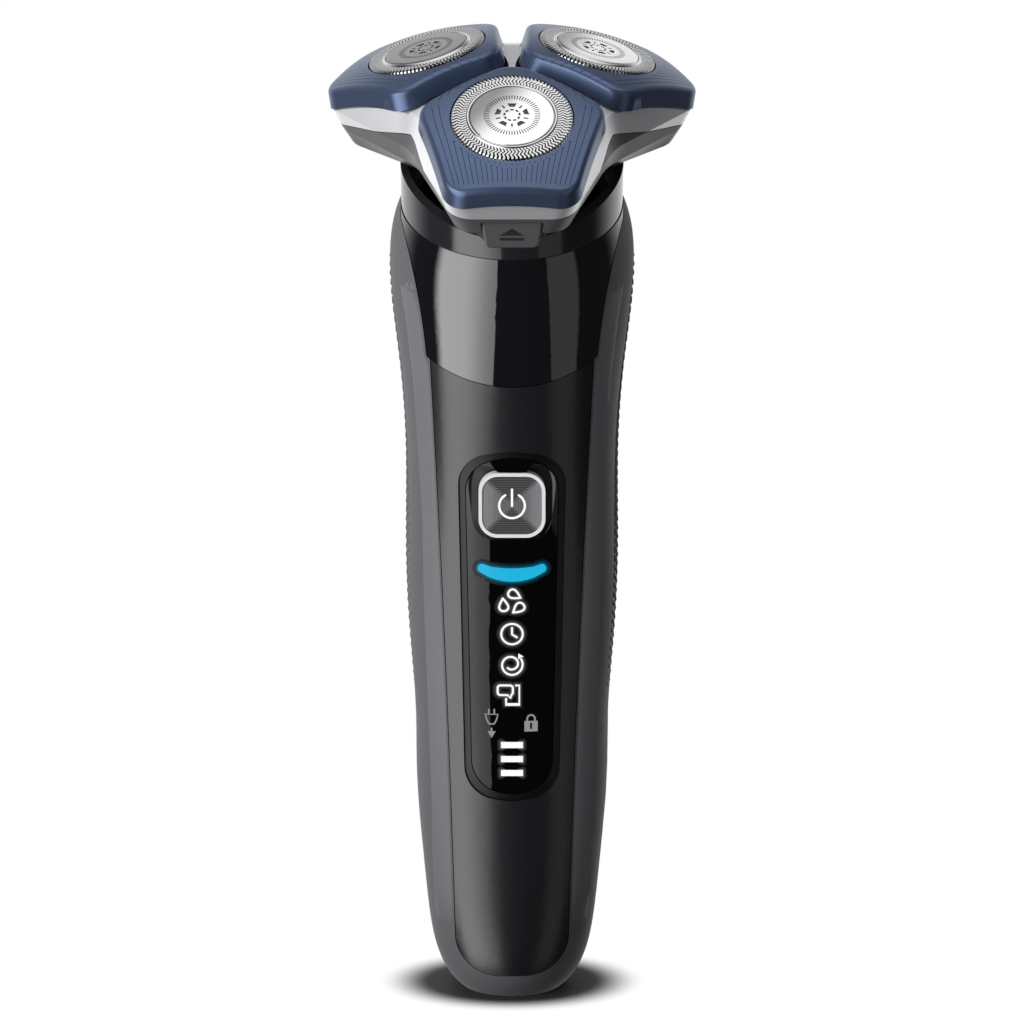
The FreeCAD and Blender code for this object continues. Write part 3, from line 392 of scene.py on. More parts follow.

# Smooth front bands of the grip, one each side of the panel: a thicker skin of the same rubber
# that rises from the panel's seam to a crisp crease, where the textured flank begins. Their
# lighter colour is painted light, for the light their front faces catch.
crease = [(9.0, 11.6), (14.0, 13.4), (18.7, 13.7), (28.6, 14.0), (41.0, 14.1), (55.0, 14.6), (75.6, 15.3),
          (92.0, 15.5), (102.0, 16.1), (115.6, 17.0), (126.0, 18.3), (134.0, 19.9)]
band_painted_light = Finish("soft_touch_band_painted_light", **{"Roughness": 0.52, "Specular IOR Level": 0.35})
x, y, z = band_painted_light.parts(band_painted_light.place())
# Painted light: the band is lighter than the grip's rubber, and near the foot it goes back to the rubber's
# colour.
band_painted_light.colours(band_painted_light.step(z, 0.008, 0.024), (0.092, 0.092, 0.099), (0.125, 0.125, 0.132))
band_rise = 0.42
band_tuck = 0.12
band_low = 15.0
band_high = 133.0
band_fade_low = 5.0
band_fade_high = 22.0
band_rows = 60
band_columns = 7


def between(pairs, at):
    """Value at a place on a line drawn through pairs of place and value."""
    for (low, first), (high, last) in zip(pairs, pairs[1:]):
        if at <= high:
            return first + (last - first) * max(0.0, at - low) / (high - low)
    return pairs[-1][1]


def seam_at(z, outside):
    """Half width of the opening in the grip's front at a height."""
    inside = 6.0
    outer = outside
    for _ in range(16):
        middle = (inside + outer) / 2
        place, _ = skin_at(grip_skin, middle * mm, z * mm)
        if place is not None and place.y < grip_axis(z * mm).y - 4 * mm:
            outer = middle
        else:
            inside = middle
    return outer


for side, name in ((-1, "left"), (1, "right")):
    band = bmesh.new()
    bmesh.ops.create_grid(band, x_segments=band_columns, y_segments=band_rows, size=0.5)
    for corner in band.verts:
        across = corner.co.x + 0.5
        z = band_low + (corner.co.y + 0.5) * (band_high - band_low)
        edge = between(crease, z)
        seam = seam_at(z, edge) + 0.03
        swell = band_rise * min(1.0, (band_high - z) / band_fade_high)
        swell *= min(1.0, (z - band_low + 0.6) / band_fade_low)
        if across > 1 - 0.5 / band_columns:
            x, rise = edge + 0.45, -band_tuck
        else:
            part = across / (1 - 1 / band_columns)
            x, rise = seam + (edge - seam) * part, swell * part ** 1.3
        if across < 0.5 / band_columns:
            rise = -band_tuck / 2
        place, facing = skin_at(grip_skin, side * x * mm, z * mm)
        corner.co = place + facing * rise * mm
    bmesh.ops.recalc_face_normals(band, faces=band.faces)
    if sum(face.normal.y for face in band.faces) > 0:
        bmesh.ops.reverse_faces(band, faces=band.faces)
    moulded("grip_band_" + name, band, band_painted_light, "handle", angle=35.0)

# ---------------------------------------------------------------------------------------------
# Gloss fascia between the grip's shoulders: bare piano-black plastic, polished and curved, so
# the softboxes run down it as bands. It snaps in above the satin panel.
piano = Finish("piano_black", **{"Base Color": (0.004, 0.004, 0.006, 1.0), "Roughness": 0.03,
                                 "Specular IOR Level": 0.9, "Coat Weight": 1.0, "Coat Roughness": 0.02})
finished("upper_fascia_gloss", "upper_fascia", piano, "handle")

# ---------------------------------------------------------------------------------------------
# Long satin panel of the front, with the soft-edged recess round the display. Moulded black
# plastic with a very fine spark-eroded grain.
satin = Finish("satin_panel", **{"Base Color": (0.009, 0.009, 0.011, 1.0), "Roughness": 0.25,
                                 "Specular IOR Level": 0.7})
satin.grain(satin.noise(7000.0), 0.02 * mm, 0.25)
recess_finish = Finish("recess_black", **{"Base Color": (0.003, 0.003, 0.004, 1.0), "Roughness": 0.3,
                                          "Specular IOR Level": 0.3})
recess_width = 1.35
panel = finished("front_panel_satin", "front_panel", satin, "handle", second=recess_finish)
window_skin = skin_of("display_lens", "light_bar", "charge_bars")
for face in panel.polygons:
    if window_skin.find_nearest(face.center, recess_width * mm)[0] is not None:
        face.material_index = 1

# ---------------------------------------------------------------------------------------------
# Display window: one long gloss-black lens with the button's hole. It is moulded clear, tinted
# black behind and polished, and sits a little below the satin panel round it.
lens_finish = Finish("display_black", **{"Base Color": (0.001, 0.001, 0.0015, 1.0), "Roughness": 0.02,
                                         "Specular IOR Level": 0.45})
finished("display_lens_gloss", "display_lens", lens_finish, "handle")

# Lit symbols behind the lens, in white: each is a thin film cut to shape that glows, with a
# faint halo of stray light round it. Plug and padlock are dimmed. The wide crescent glows cyan.
# Signs are drawn flat in millimetres from a middle line and a height of their own.
crescent_low, crescent_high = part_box("light_bar")
signs_height = crescent_low.z
stroke = 0.36


def line(shape, points, width, closed=False):
    """A line of even width along points in the plane of the front, with round ends."""
    curve = bpy.data.curves.new("line", "CURVE")
    curve.dimensions = "3D"
    curve.bevel_depth = width / 2 * mm
    curve.bevel_resolution = 2
    spline = curve.splines.new("POLY")
    spline.points.add(len(points) - 1)
    spline.use_cyclic_u = closed
    for knot, (x, z) in zip(spline.points, points):
        knot.co = (x * mm, 0, z * mm, 1)
    drawn = bpy.data.objects.new("line", curve)
    bpy.context.scene.collection.objects.link(drawn)
    bpy.context.view_layer.update()
    mesh = bpy.data.meshes.new_from_object(drawn.evaluated_get(bpy.context.evaluated_depsgraph_get()))
    shape.from_mesh(mesh)
    bpy.data.objects.remove(drawn)
    bpy.data.curves.remove(curve)
    bpy.data.meshes.remove(mesh)
    for x, z in [] if closed else (points[0], points[-1]):
        bmesh.ops.create_icosphere(shape, subdivisions=2, radius=width / 2 * mm,
                                   matrix=Matrix.Translation((x * mm, 0, z * mm)))


def arc(x, z, radius, start, end, steps=24):
    """Points on a circle, from the start to the end angle in degrees."""
    turns = [math.radians(start + (end - start) * step / steps) for step in range(steps + 1)]
    return [(x + radius * math.cos(turn), z + radius * math.sin(turn)) for turn in turns]


def drop(x, z, size, turn):
    """Outline of a falling drop with its point turned by an angle."""
    points = []
    angle = math.radians(turn)
    for step in range(24):
        t = 2 * math.pi * step / 24
        along, out = -size * math.cos(t), size * 0.95 * math.sin(t) * math.sin(t / 2) ** 1.4
        points.append((x + along * math.cos(angle) - out * math.sin(angle),
                       z + along * math.sin(angle) + out * math.cos(angle)))
    return points


def plate(shape, x, z, half_width, half_height):
    """A flat filled rectangle in the plane of the front."""
    size = Matrix.Diagonal((half_width * mm, half_height * mm, 1, 1))
    upright = Matrix.Translation((x * mm, 0, z * mm)) @ Matrix.Rotation(math.radians(90), 4, "X")
    bmesh.ops.create_grid(shape, x_segments=6, y_segments=4, size=1.0, matrix=upright @ size)


def point_of_arrow(shape, x, z, size, turn):
    """A flat filled triangle in the plane of the front that points along an angle."""
    upright = Matrix.Translation((x * mm, 0, z * mm)) @ Matrix.Rotation(math.radians(90), 4, "X")
    bmesh.ops.create_circle(shape, cap_ends=True, segments=3, radius=size * mm,
                            matrix=upright @ Matrix.Rotation(math.radians(turn - 90), 4, "Z"))


def laid_on(shape, skin, height, rise, thin=0.02):
    """Lifts flat signs to a height, presses them thin and lays them on a skin seen from the front."""
    bmesh.ops.translate(shape, verts=shape.verts, vec=(0, 0, height))
    depth = 0.0
    for corner in shape.verts:
        place, _ = skin_at(skin, corner.co.x, corner.co.z)
        depth = place.y if place else depth
        corner.co.y = depth - rise * mm + corner.co.y * thin


def glow(name, colour, strength):
    """A finish that gives off its own light."""
    return Finish(name, **{"Base Color": (0, 0, 0, 1.0), "Roughness": 0.3, "Specular IOR Level": 0.2,
                           "Emission Color": (*colour, 1.0), "Emission Strength": strength})


white = (1.0, 1.0, 1.0)
cyan = (0.0144, 0.456, 0.730)
white_light = glow("white_light", white, 1.0)
cyan_light = glow("cyan_light", cyan, 1.0)
dim_light = glow("dim_light", (0.27, 0.27, 0.28), 1.0)

spiral = []
for step in range(49):
    turn = math.radians(224 + 526 * step / 48)
    reach = 0.95 + 1.0 * min(1.0, max(0.0, (step / 48 - 0.15) / 0.62))
    spiral.append((-0.07 + reach * math.cos(turn), -15.4 + reach * math.sin(turn)))
drops = [drop(0.48, -2.43, 1.2, 151), drop(-1.5, -4.28, 1.2, -84), drop(1.08, -4.98, 1.2, 40)]
clock_face = arc(0, -9.75, 1.9, 0, 350, 35)
clock_hands = [(0, -8.6), (0, -9.8), (0.85, -10.35)]
bubble = arc(-0.35, -19.8, 0.5, 0, 90, 6) + arc(-2.05, -19.8, 0.5, 90, 180, 6)
bubble += arc(-2.05, -20.6, 0.5, 180, 270, 6) + [(-0.75, -21.1), (-0.25, -21.65), (-0.1, -21.05)]
bubble += arc(-0.35, -20.6, 0.5, -60, 0, 4)
phone = [(0.7, -19.3), (1.3, -19.3), (1.3, -22.95), (-1.05, -22.95), (-1.05, -21.8)]


def lit_symbols(width):
    """Drops, clock, spiral, speech bubble and phone, all drawn with one width of line."""
    shape = bmesh.new()
    for points in (*drops, clock_face, bubble):
        line(shape, points, width, closed=True)
    for points in (clock_hands, spiral, phone):
        line(shape, points, width)
    return shape


symbols = lit_symbols(stroke)
point_of_arrow(symbols, 1.42, -13.9, 0.62, 118)
line(symbols, [(-0.9, -22.75), (1.15, -22.75)], stroke)
laid_on(symbols, window_skin, signs_height, 0.045)
moulded("display_symbols", symbols, white_light, "handle")

bars_low, bars_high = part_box("charge_bars")
bar_tall = 1.15
bar_step = ((bars_high.z - bars_low.z) / mm - bar_tall) / 2


def round_bar(index, gap):
    """Outline round one charge bar at a gap."""
    wide, low = bars_high.x / mm, (bars_low.z - signs_height) / mm + index * bar_step
    high = low + bar_tall
    return (arc(wide, high, gap, 0, 90, 4) + arc(-wide, high, gap, 90, 180, 4)
            + arc(-wide, low, gap, 180, 270, 4) + arc(wide, low, gap, 270, 360, 4))


def round_crescent(gap):
    """Outline round the light bar at a gap."""
    round_end = 0.85
    wide, high = crescent_high.x / mm - round_end, (crescent_high.z - crescent_low.z) / mm - round_end
    below = [(x, -gap + 0.047 * x * x) for x in (-4.2, -2.8, -1.4, 0, 1.4, 2.8, 4.2)]
    above = [(x, high + 0.1 + gap + 0.02 * x * x) for x in (3.6, 1.8, 0, -1.8, -3.6)]
    right_end = arc(wide, high, round_end + gap, -50, 90, 8)
    return below + right_end + above + arc(-wide, high, round_end + gap, 90, 230, 8)


for number, spill, share in ((1, 0.66, 0.010), (2, 0.42, 0.030), (3, 0.20, 0.09)):
    halo = lit_symbols(stroke + 2 * spill)
    for index in range(3):
        line(halo, round_bar(index, spill / 2), spill, closed=True)
    laid_on(halo, window_skin, signs_height, 0.010 * number)
    finish = glow("white_halo_" + str(number), white, share)
    moulded("display_halo_" + str(number), halo, finish, "handle")
    halo = bmesh.new()
    line(halo, round_crescent(spill * 0.7), spill * 1.4, closed=True)
    laid_on(halo, window_skin, signs_height, 0.010 * number)
    finish = glow("cyan_halo_" + str(number), cyan, share * 2.0)
    moulded("light_bar_halo_" + str(number), halo, finish, "handle")

dim_symbols = bmesh.new()
plug_middle = -3.63
padlock_middle = 3.38
padlock_side = 0.68
plug = [(-4.75, -24.7), (-4.45, -25.8), (-4.05, -26.5)]
plug += [(-3.2, -26.5), (-2.8, -25.8), (-2.5, -24.7)]
line(dim_symbols, plug, 0.3, closed=True)
for x in (-4.1, -3.15):
    line(dim_symbols, [(x, -24.5), (x, -23.8)], 0.3)
plate(dim_symbols, plug_middle, -27.6, 0.16, 0.4)
point_of_arrow(dim_symbols, plug_middle, -28.25, 0.85, -90)
for x in (padlock_middle - padlock_side, padlock_middle + padlock_side):
    plate(dim_symbols, x, -26.9, 0.5, 0.98)
plate(dim_symbols, padlock_middle, -26.1, 0.3, 0.18)
plate(dim_symbols, padlock_middle, -27.65, 0.3, 0.23)
shackle = [(padlock_middle - padlock_side, -26.0)]
shackle += arc(padlock_middle, -25.5, padlock_side, 180, 0, 14)
shackle += [(padlock_middle + padlock_side, -26.0)]
line(dim_symbols, shackle, 0.32)
laid_on(dim_symbols, window_skin, signs_height, 0.04)
moulded("display_dim_symbols", dim_symbols, dim_light, "handle")

finished("light_bar_lit", "light_bar", cyan_light, "handle")
finished("charge_bars_lit", "charge_bars", white_light, "handle")

# ---------------------------------------------------------------------------------------------
# Power button: a rounded square of metal in a bright rim, brushed in nested squares. Its sheen
# is painted into the colour: two opposite quarters and the diagonals light, the other two dark.
# The power sign is light film.
button_low, button_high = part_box("button_face")
button_middle = (button_low + button_high) / 2
brush_waves = 15000.0
brush_and_sheen = Finish("brushed_button_painted_sheen", **{"Metallic": 0.25, "Roughness": 0.38})
x, _, z = brush_and_sheen.parts(brush_and_sheen.place(shift=button_middle))
x, z = x.math("ABSOLUTE"), z.math("ABSOLUTE")
nested = (x.math("MAXIMUM", z) * brush_waves).math("SINE")
# Painted sheen: the side quarters and the diagonals are coloured light where the brushed metal would catch
# the light.
sheen_quarters = brush_and_sheen.step(x - z, -0.0002, 0.0008) * (0.35 + 0.65 * brush_and_sheen.step(x, 0.0015, 0.005))
sheen_diagonals = brush_and_sheen.step((x - z).math("ABSOLUTE"), 0.0009, 0.0001)
painted_sheen = sheen_quarters + nested * 0.16 + 0.3 * sheen_diagonals + 0.12
brush_and_sheen.colours(painted_sheen, (0.04, 0.04, 0.042), (0.25, 0.25, 0.26))
brush_and_sheen.grain(nested, 0.01 * mm, 0.5)
button_skin = skin_of("button_face")
finished("button_face_painted_sheen", "button_face", brush_and_sheen, "power_button")
chrome = Finish("bright_chrome", **{"Base Color": (0.95, 0.95, 0.96, 1.0), "Metallic": 0.2,
                                    "Roughness": 0.25})
finished("button_rim", "button_ring", chrome, "power_button")

power_sign = bmesh.new()
line(power_sign, arc(0, -0.05, 2.25, 122, 418, 40), 0.4)
line(power_sign, [(0, 2.9), (0, -0.1)], 0.4)
laid_on(power_sign, button_skin, button_middle.z, 0.04)
moulded("power_sign", power_sign, white_light, "power_button")

# ---------------------------------------------------------------------------------------------
# Inside the handle: nylon frame, cell in its sleeve, board, motor and the small parts on them.
# They stay as cut, each in the plain finish of its own material.
def paint(finish, *nodes):
    """Gives solids that stay as cut their material."""
    for node in nodes:
        mesh = frame["nodes"][node].data
        mesh.materials.clear()
        mesh.materials.append(finish.material)


nylon = Finish("black_nylon", **{"Base Color": (0.05, 0.05, 0.055, 1.0), "Roughness": 0.55})
sleeve = Finish("cell_sleeve", **{"Base Color": (0.05, 0.16, 0.30, 1.0), "Roughness": 0.35})
board = Finish("green_board", **{"Base Color": (0.02, 0.16, 0.07, 1.0), "Roughness": 0.4})
can = Finish("motor_steel", **{"Base Color": (0.55, 0.55, 0.56, 1.0), "Metallic": 1.0, "Roughness": 0.32})
brass = Finish("contact_brass", **{"Base Color": (0.75, 0.55, 0.25, 1.0), "Metallic": 1.0, "Roughness": 0.28})
seal = Finish("seal_rubber", **{"Base Color": (0.02, 0.02, 0.022, 1.0), "Roughness": 0.65})
plastic = Finish("black_plastic", **{"Base Color": (0.018, 0.018, 0.02, 1.0), "Roughness": 0.38})
paint(nylon, "inner_frame", "motor_mount", "tact_switch")
paint(sleeve, "battery_cell")
paint(board, "control_board")
paint(can, "motor_can", "motor_screws", "drive_shaft")
paint(brass, "battery_tabs", "inlet_pins")
paint(white_light, "status_leds")
paint(seal, "shaft_seal")
paint(plastic, "charging_inlet")

# ---------------------------------------------------------------------------------------------
# Neck: polished black ring that finishes the top of the handle, and inside it the ribbed socket
# where the cutting head plugs on to the drive.
ring_gloss = Finish("neck_gloss", **{"Base Color": (0.016, 0.016, 0.019, 1.0), "Roughness": 0.12,
                                     "Coat Weight": 0.4, "Coat Roughness": 0.05})
finished("neck_ring_gloss", "neck_ring", ring_gloss, "handle")
finished("neck_socket_body", "neck_socket", plastic, "handle")
white_nylon = Finish("white_nylon", **{"Base Color": (0.72, 0.72, 0.70, 1.0), "Roughness": 0.4,
                                       "Subsurface Weight": 0.1})
paint(white_nylon, "drive_coupler")

# ---------------------------------------------------------------------------------------------
# Base of the cutting head: dark grey moulded tray that plugs into the neck, with the latch boss
# under its front edge and the hinge behind. Gears run inside it under their deck.
grey = Finish("head_grey", **{"Base Color": (0.085, 0.085, 0.09, 1.0), "Roughness": 0.36})
grey.grain(grey.noise(6500.0), 0.015 * mm, 0.2)
finished("head_base_grey", "head_base", grey, "head")
paint(plastic, "gear_deck")
paint(can, "deck_screws", "hinge_pin", "latch_spring")
paint(white_nylon, "sun_gear", "planet_gear_1", "planet_gear_2", "planet_gear_3")

# ---------------------------------------------------------------------------------------------
# Release button under the front of the head: dark grey, printed with an arrow over a bar, the
# sign for taking something off.
button_grey = Finish("release_grey", **{"Base Color": (0.07, 0.07, 0.074, 1.0), "Roughness": 0.34})
release_skin = skin_of("release_button")
finished("release_button_grey", "release_button", button_grey, "release")
release_low, release_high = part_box("release_button")
release_middle = (release_low + release_high) / 2
dark = Finish("sign_dark", **{"Base Color": (0.015, 0.015, 0.017, 1.0), "Roughness": 0.3})
take_off = bmesh.new()
point_of_arrow(take_off, 0, 0, 1.0, 90)
bmesh.ops.scale(take_off, vec=(2.4, 1, 0.87), verts=take_off.verts)
bmesh.ops.translate(take_off, vec=(0, 0, 0.1 * mm), verts=take_off.verts)
plate(take_off, 0, -1.0, 2.1, 0.25)
laid_on(take_off, release_skin, release_middle.z, 0.03)
moulded("release_sign", take_off, dark, "release", angle=20.0)

# ---------------------------------------------------------------------------------------------
# Silver holder: the star-shaped frame that carries the three cutting units and swings back on
# the hinge for rinsing. Moulded and coated bright satin silver.
silver = Finish("satin_silver", **{"Base Color": (0.84, 0.84, 0.86, 1.0), "Metallic": 0.55, "Roughness": 0.3})
finished("head_holder_silver", "head_holder", silver, "holder")

# ---------------------------------------------------------------------------------------------
# Three skin pads: blue coated plastic, crowned, with fine grooves that run outwards past the
# cap and short nicks along the two inner edges, their faces painted darker blue as their shade.
# Each tilts on its own pivots.
def lobe_frame(number):
    """Place of one cutting unit: x points outwards, y along its pivots and z out of its cap."""
    spin = joints["cutter_spin_" + str(number)]
    out = Vector(spin["axis"])
    along = -Vector(joints["pad_tilt_" + str(number)]["axis"])
    away = along.cross(out)
    axes = Matrix((away, along, out)).transposed().to_4x4()
    return Matrix.Translation(spin["pos_m"]) @ axes


lobes = {number: lobe_frame(number) for number in (1, 2, 3)}
pad_blue = Finish("pad_blue", **{"Base Color": (0.084, 0.118, 0.205, 1.0), "Metallic": 0.7,
                                 "Roughness": 0.32})
pad_blue.grain(pad_blue.noise(6000.0), 0.01 * mm, 0.15)
# Painted shade: the faces cut by the grooves, nicks and dots get this darker blue.
pad_groove_painted_shade = Finish("pad_groove_painted_shade", **{"Base Color": (0.024, 0.036, 0.066, 1.0), "Roughness": 0.5})
groove_count = 25
groove_width = 0.11
groove_depth = 0.13
nick_count = 8
nick_step = 1.5
dot_radius = 0.14
cap_clear = 11.3
groove_after_dot = 0.75
groove_back = -3.6
groove_front = 14.7
groove_lowest = -3.6
groove_spread = 0.965
width_by_cap = 13.3
width_by_dots = 12.6
pad_shape = welded("skin_pad_1")
bmesh.ops.transform(pad_shape, matrix=lobes[1].inverted(), verts=pad_shape.verts)
pad_skin = BVHTree.FromBMesh(pad_shape)


def pad_half_width(x):
    """Half the pad's width, which falls evenly from its side corners to its front edge."""
    wide, narrow, side_corner, length = 15.6, 10.2, -4.3, 20.4
    return wide + (narrow - wide) * (x - side_corner) / length


def on_pad(x, y):
    """Where a line along the cap's axis meets the top of the pad."""
    place, _, _, _ = pad_skin.ray_cast(Vector((x * mm, y * mm, 0.02)), Vector((0, 0, -1)))
    return place


def groove(shape, points):
    """Thin blade along points, half sunk in the pad, that cuts a groove."""
    spots = [on_pad(x, y) for x, y in points]
    spots = [spot for spot in spots if spot is not None and spot.z > groove_lowest * mm]
    if len(spots) < 2:
        return
    edge = [shape.verts.new(spot - Vector((0, 0, groove_depth * mm))) for spot in spots]
    edges = [shape.edges.new(pair) for pair in zip(edge, edge[1:])]
    raised = bmesh.ops.extrude_edge_only(shape, edges=edges)["geom"]
    lifted = [part for part in raised if isinstance(part, bmesh.types.BMVert)]
    bmesh.ops.translate(shape, verts=lifted, vec=(0, 0, 2.0 * groove_depth * mm))


def groove_path(share, start, end, steps=10):
    """Points down the pad at a share of its width, a little bowed inwards where it starts."""
    points = []
    for step in range(steps + 1):
        x = start + (end - start) * step / steps
        bow = 1 - 0.035 * (max(0.0, 3.0 - x) / 6.6) ** 2
        points.append((x, share * bow * pad_half_width(x)))
    return points


def nick_path(index, side, steps=4):
    """Points of a short nick that runs in from one inner edge, longer towards the side corner."""
    inner_corner, edge_run, edge_width = -15.1, 10.7, 16.3
    y = index * nick_step
    x = inner_corner + edge_run * y / edge_width
    length = 0.6 + 1.8 * (index / nick_count) ** 2
    parts = [step / steps for step in range(steps + 1)]
    return [(x + length * part, side * (y + 0.3 * length * part ** 2)) for part in parts]


blades = bmesh.new()
shares = [groove_spread * (-1 + 2 * (index + 0.5) / groove_count) for index in range(groove_count)]
for share in shares:
    beside = abs(share) * width_by_cap
    start = groove_back
    if beside <= cap_clear - 1.0:
        start = math.sqrt(cap_clear ** 2 - beside ** 2) + groove_after_dot
    groove(blades, groove_path(share, start, groove_front))
for side in (-1, 1):
    for index in range(1, nick_count + 1):
        groove(blades, nick_path(index, side))
bmesh.ops.recalc_face_normals(blades, faces=blades.faces)
bmesh.ops.solidify(blades, geom=blades.faces[:], thickness=groove_width * mm)
bmesh.ops.recalc_face_normals(blades, faces=blades.faces)
for share in shares:
    y = share * width_by_dots
    if abs(y) < cap_clear - 1.5:
        spot = Matrix.Translation(on_pad(math.sqrt(cap_clear ** 2 - y ** 2), y))
        bmesh.ops.create_icosphere(blades, subdivisions=1, radius=dot_radius * mm, matrix=spot)


def cut_away(shape, cutter, finishes):
    """Mesh of the shape less the cutter, by a boolean on two short-lived objects."""
    made = []
    for name, part in (("whole", shape), ("cutter", cutter)):
        mesh = bpy.data.meshes.new(name)
        part.to_mesh(mesh)
        part.free()
        mesh.polygons.foreach_set("use_smooth", [True] * len(mesh.polygons))
        for finish in finishes:
            mesh.materials.append(finish.material)
        made.append(bpy.data.objects.new(name, mesh))
        bpy.context.scene.collection.objects.link(made[-1])
    whole, tool = made
    less = whole.modifiers.new("less", "BOOLEAN")
    less.operation = "DIFFERENCE"
    less.solver = "EXACT"
    less.use_self = True
    less.object = tool
    bpy.context.view_layer.update()
    mesh = bpy.data.meshes.new_from_object(whole.evaluated_get(bpy.context.evaluated_depsgraph_get()))
    mesh.set_sharp_from_angle(angle=math.radians(25.0))
    for item in made:
        bpy.data.objects.remove(item)
    return mesh


# The cutter's faces carry the grooves' painted shade.
for face in blades.faces:
    face.material_index = 1
grooved = cut_away(pad_shape, blades, (pad_blue, pad_groove_painted_shade))

# The crown between the grooves keeps the curvature of the whole pad, so it still shines evenly.
# Each corner is looked up a little towards its face's middle, which finds its own side of an edge.
crown = frame["nodes"]["skin_pad_1"].data
crown.calc_loop_triangles()
crown_skin = BVHTree.FromPolygons([corner.co for corner in crown.vertices],
                                  [list(face.vertices) for face in crown.loop_triangles])
normals = [corner.vector.copy() for corner in grooved.corner_normals]
for face in grooved.polygons:
    if face.material_index == 0 and face.normal.z > 0.2:
        for index in face.loop_indices:
            at = grooved.vertices[grooved.loops[index].vertex_index].co.lerp(face.center, 0.02)
            spot, _, nearest, _ = crown_skin.find_nearest(lobes[1] @ at)
            ends = crown.loop_triangles[nearest]
            weights = poly_3d_calc([crown.vertices[end].co for end in ends.vertices], spot)
            bent = Vector()
            for end, weight in zip(ends.loops, weights):
                bent += crown.corner_normals[end].vector * weight
            normals[index] = lobes[1].to_3x3().inverted() @ bent.normalized()
grooved.normals_split_custom_set(normals)


def on_lobes(name, mesh, finish, body, node):
    """Puts a copy of one mesh on each of the three cutting units."""
    for number, place in lobes.items():
        end = "_" + str(number)
        placed = mesh.copy()
        placed.transform(place)
        piece(name + end, placed, finish, body + end, [node + end])
    bpy.data.meshes.remove(mesh)


on_lobes("skin_pad_blue", grooved, pad_blue, "pad", "skin_pad")
paint(white_nylon, "retaining_ring_1", "retaining_ring_2", "retaining_ring_3")

# ---------------------------------------------------------------------------------------------
# Shaving caps: thin hardened steel, ninety kinked bars round a polished step, with their ends
# turned down over the rim as small teeth. A near-black ring under the bars is painted shade
# for the slots.
steel = Finish("cap_steel", **{"Base Color": (0.78, 0.78, 0.79, 1.0), "Metallic": 1.0, "Roughness": 0.22})
slot_painted_shade = Finish("slot_painted_shade", **{"Base Color": (0.01, 0.01, 0.011, 1.0), "Roughness": 0.5})
bar_count = 90
bar_width = 0.33
bar_thick = 0.22
bar_path = [(7.7, 0.04, 0.0), (8.15, -0.06, 0.0), (8.75, 0.30, 0.0), (9.45, -0.22, 0.0), (10.05, 0.10, -0.02),
            (10.32, 0.06, -0.12), (10.44, 0.06, -0.34), (10.46, 0.06, -0.75)]


def cap_bars(shape):
    """One kinked bar bent down over the rim, then spun round the cap."""
    corners = [shape.verts.new((r * mm, (t - bar_width / 2) * mm, z * mm)) for r, t, z in bar_path]
    edges = [shape.edges.new(pair) for pair in zip(corners, corners[1:])]
    side = bmesh.ops.extrude_edge_only(shape, edges=edges)["geom"]
    moved = [part for part in side if isinstance(part, bmesh.types.BMVert)]
    bmesh.ops.translate(shape, verts=moved, vec=(0, bar_width * mm, 0))
    bmesh.ops.recalc_face_normals(shape, faces=shape.faces)
    if sum(face.normal.z for face in shape.faces) < 0:
        bmesh.ops.reverse_faces(shape, faces=shape.faces)
    bmesh.ops.solidify(shape, geom=shape.faces[:], thickness=bar_thick * mm)
    bmesh.ops.recalc_face_normals(shape, faces=shape.faces)
    geometry = shape.verts[:] + shape.edges[:] + shape.faces[:]
    bmesh.ops.spin(shape, geom=geometry, cent=(0, 0, 0), axis=(0, 0, 1), steps=bar_count - 1,
                   angle=math.radians(360.0 * (bar_count - 1) / bar_count), use_duplicate=True)


def turned(shape, profile, segments=96):
    """Spins a closed outline of radius and height round the cap's axis and counts its faces."""
    before = len(shape.faces)
    corners = [shape.verts.new((r * mm, 0, z * mm)) for r, z in profile]
    edges = [shape.edges.new(pair) for pair in zip(corners, corners[1:] + corners[:1])]
    bmesh.ops.spin(shape, geom=corners + edges, cent=(0, 0, 0), axis=(0, 0, 1), steps=segments,
                   angle=2 * math.pi, use_merge=True)
    bmesh.ops.recalc_face_normals(shape, faces=shape.faces)
    return len(shape.faces) - before


rim_profile = [(10.46, -0.7), (10.46, -3.9), (11.2, -3.9), (11.2, -4.5), (10.0, -4.5), (10.0, -0.95),
               (10.2, -0.7)]
step_profile = [(7.36, -0.25), (7.36, 0.08), (7.42, 0.17), (7.55, 0.22), (7.68, 0.2), (7.82, 0.1),
                (7.92, 0.0), (7.98, -0.08), (7.98, -0.25)]
# Painted shade: a flat near-black ring under the bars that shows through the slots.
shade_ring_profile = [(6.0, -0.5), (6.0, -0.3), (8.0, -0.3), (8.0, -0.5)]
for number, place in lobes.items():
    cap = bmesh.new()
    cap_bars(cap)
    turned(cap, rim_profile)
    turned(cap, step_profile)
    shade_ring_faces = turned(cap, shade_ring_profile)
    for face in cap.faces[-shade_ring_faces:]:
        face.material_index = 1
    bmesh.ops.transform(cap, matrix=place, verts=cap.verts)
    moulded("shaving_cap_steel_" + str(number), cap, steel, "cap_" + str(number),
            ["shaving_cap_" + str(number)], second=slot_painted_shade)
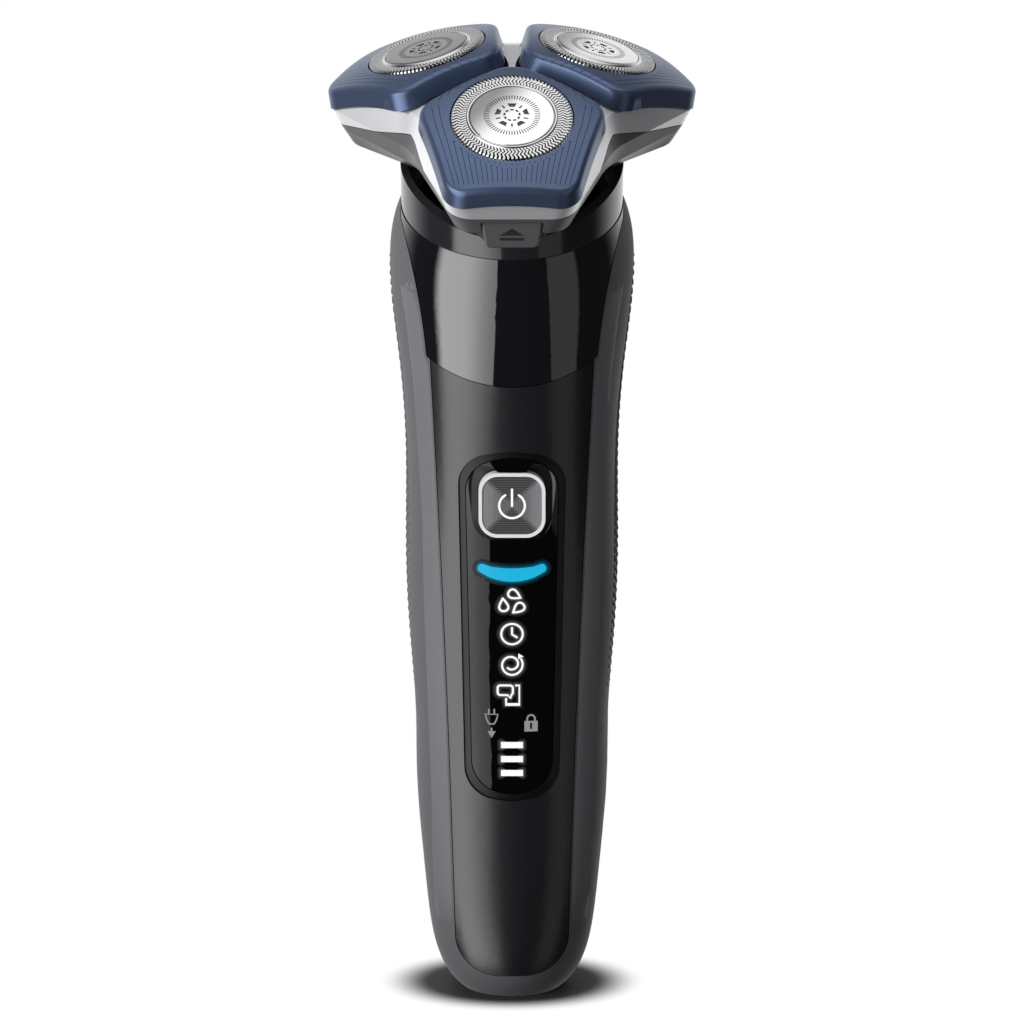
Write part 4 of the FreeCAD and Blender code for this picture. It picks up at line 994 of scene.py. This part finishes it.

# ---------------------------------------------------------------------------------------------
# Bright disc pressed into each cap: polished steel, stamped with a ring of ticks, five windows
# with a tick between each two, and a broken ring round the middle. Its sheen is painted into
# its colour, dark on one side and bright on the other, and the stamped marks are painted near
# black as their shade.
bright = Finish("bright_disc", **{"Metallic": 0.85, "Roughness": 0.22})
# Painted shade: the floors and walls of the stamped marks are near black. Their rougher finish is the steel's
# own.
stamped = Finish("stamped_marks_painted_shade", **{"Base Color": (0.06, 0.06, 0.062, 1.0), "Metallic": 0.6,
                                     "Roughness": 0.4})
x, y, z = bright.parts(bright.place(shift=lobes[1].translation))
# Painted sheen: the disc's colour runs from dark on one side to bright on the other.
disc_painted_sheen = bright.step(x * 0.8 - z * 0.8 - y * 0.2, -0.006, 0.001)
bright.colours(disc_painted_sheen, (0.25, 0.25, 0.26), (0.95, 0.95, 0.96))
mark_depth = 0.12
disc_top = 0.3
disc_profile = [(0.02, -0.2), (7.2, -0.2), (7.28, 0.12), (7.2, 0.22), (7.05, 0.29), (6.9, disc_top),
                (0.02, disc_top)]


def marks(shape, count, radius, length, wide_out, wide_in, turn):
    """A ring of stamped marks, each wider at its outer end where asked."""
    block = bmesh.ops.create_cube(shape, size=1.0)["verts"]
    for corner in block:
        wide = wide_out if corner.co.x > 0 else wide_in
        corner.co = Vector(((radius + corner.co.x * length) * mm, corner.co.y * wide * mm,
                            (disc_top + corner.co.z * 2 * mark_depth) * mm))
    bmesh.ops.rotate(shape, cent=(0, 0, 0), matrix=Matrix.Rotation(math.radians(turn), 3, "Z"), verts=block)
    cube = block + shape.edges[-12:] + shape.faces[-6:]
    bmesh.ops.spin(shape, geom=cube, cent=(0, 0, 0), axis=(0, 0, 1), steps=count - 1,
                   angle=math.radians(360.0 * (count - 1) / count), use_duplicate=True)


disc_blank = bmesh.new()
turned(disc_blank, disc_profile)
stamp = bmesh.new()
marks(stamp, 60, 4.38, 1.0, 0.2, 0.14, 0)
marks(stamp, 5, 2.46, 0.86, 1.6, 0.9, 180)
marks(stamp, 5, 2.5, 0.8, 0.26, 0.32, 0)
marks(stamp, 9, 1.3, 0.36, 0.72, 0.5, 20)
bmesh.ops.recalc_face_normals(stamp, faces=stamp.faces)
for face in stamp.faces:
    face.material_index = 1
disc = cut_away(disc_blank, stamp, (bright, stamped))
on_lobes("cap_disc_bright", disc, bright, "cap", "cap_disc")
paint(can, "cutter_1", "cutter_2", "cutter_3")
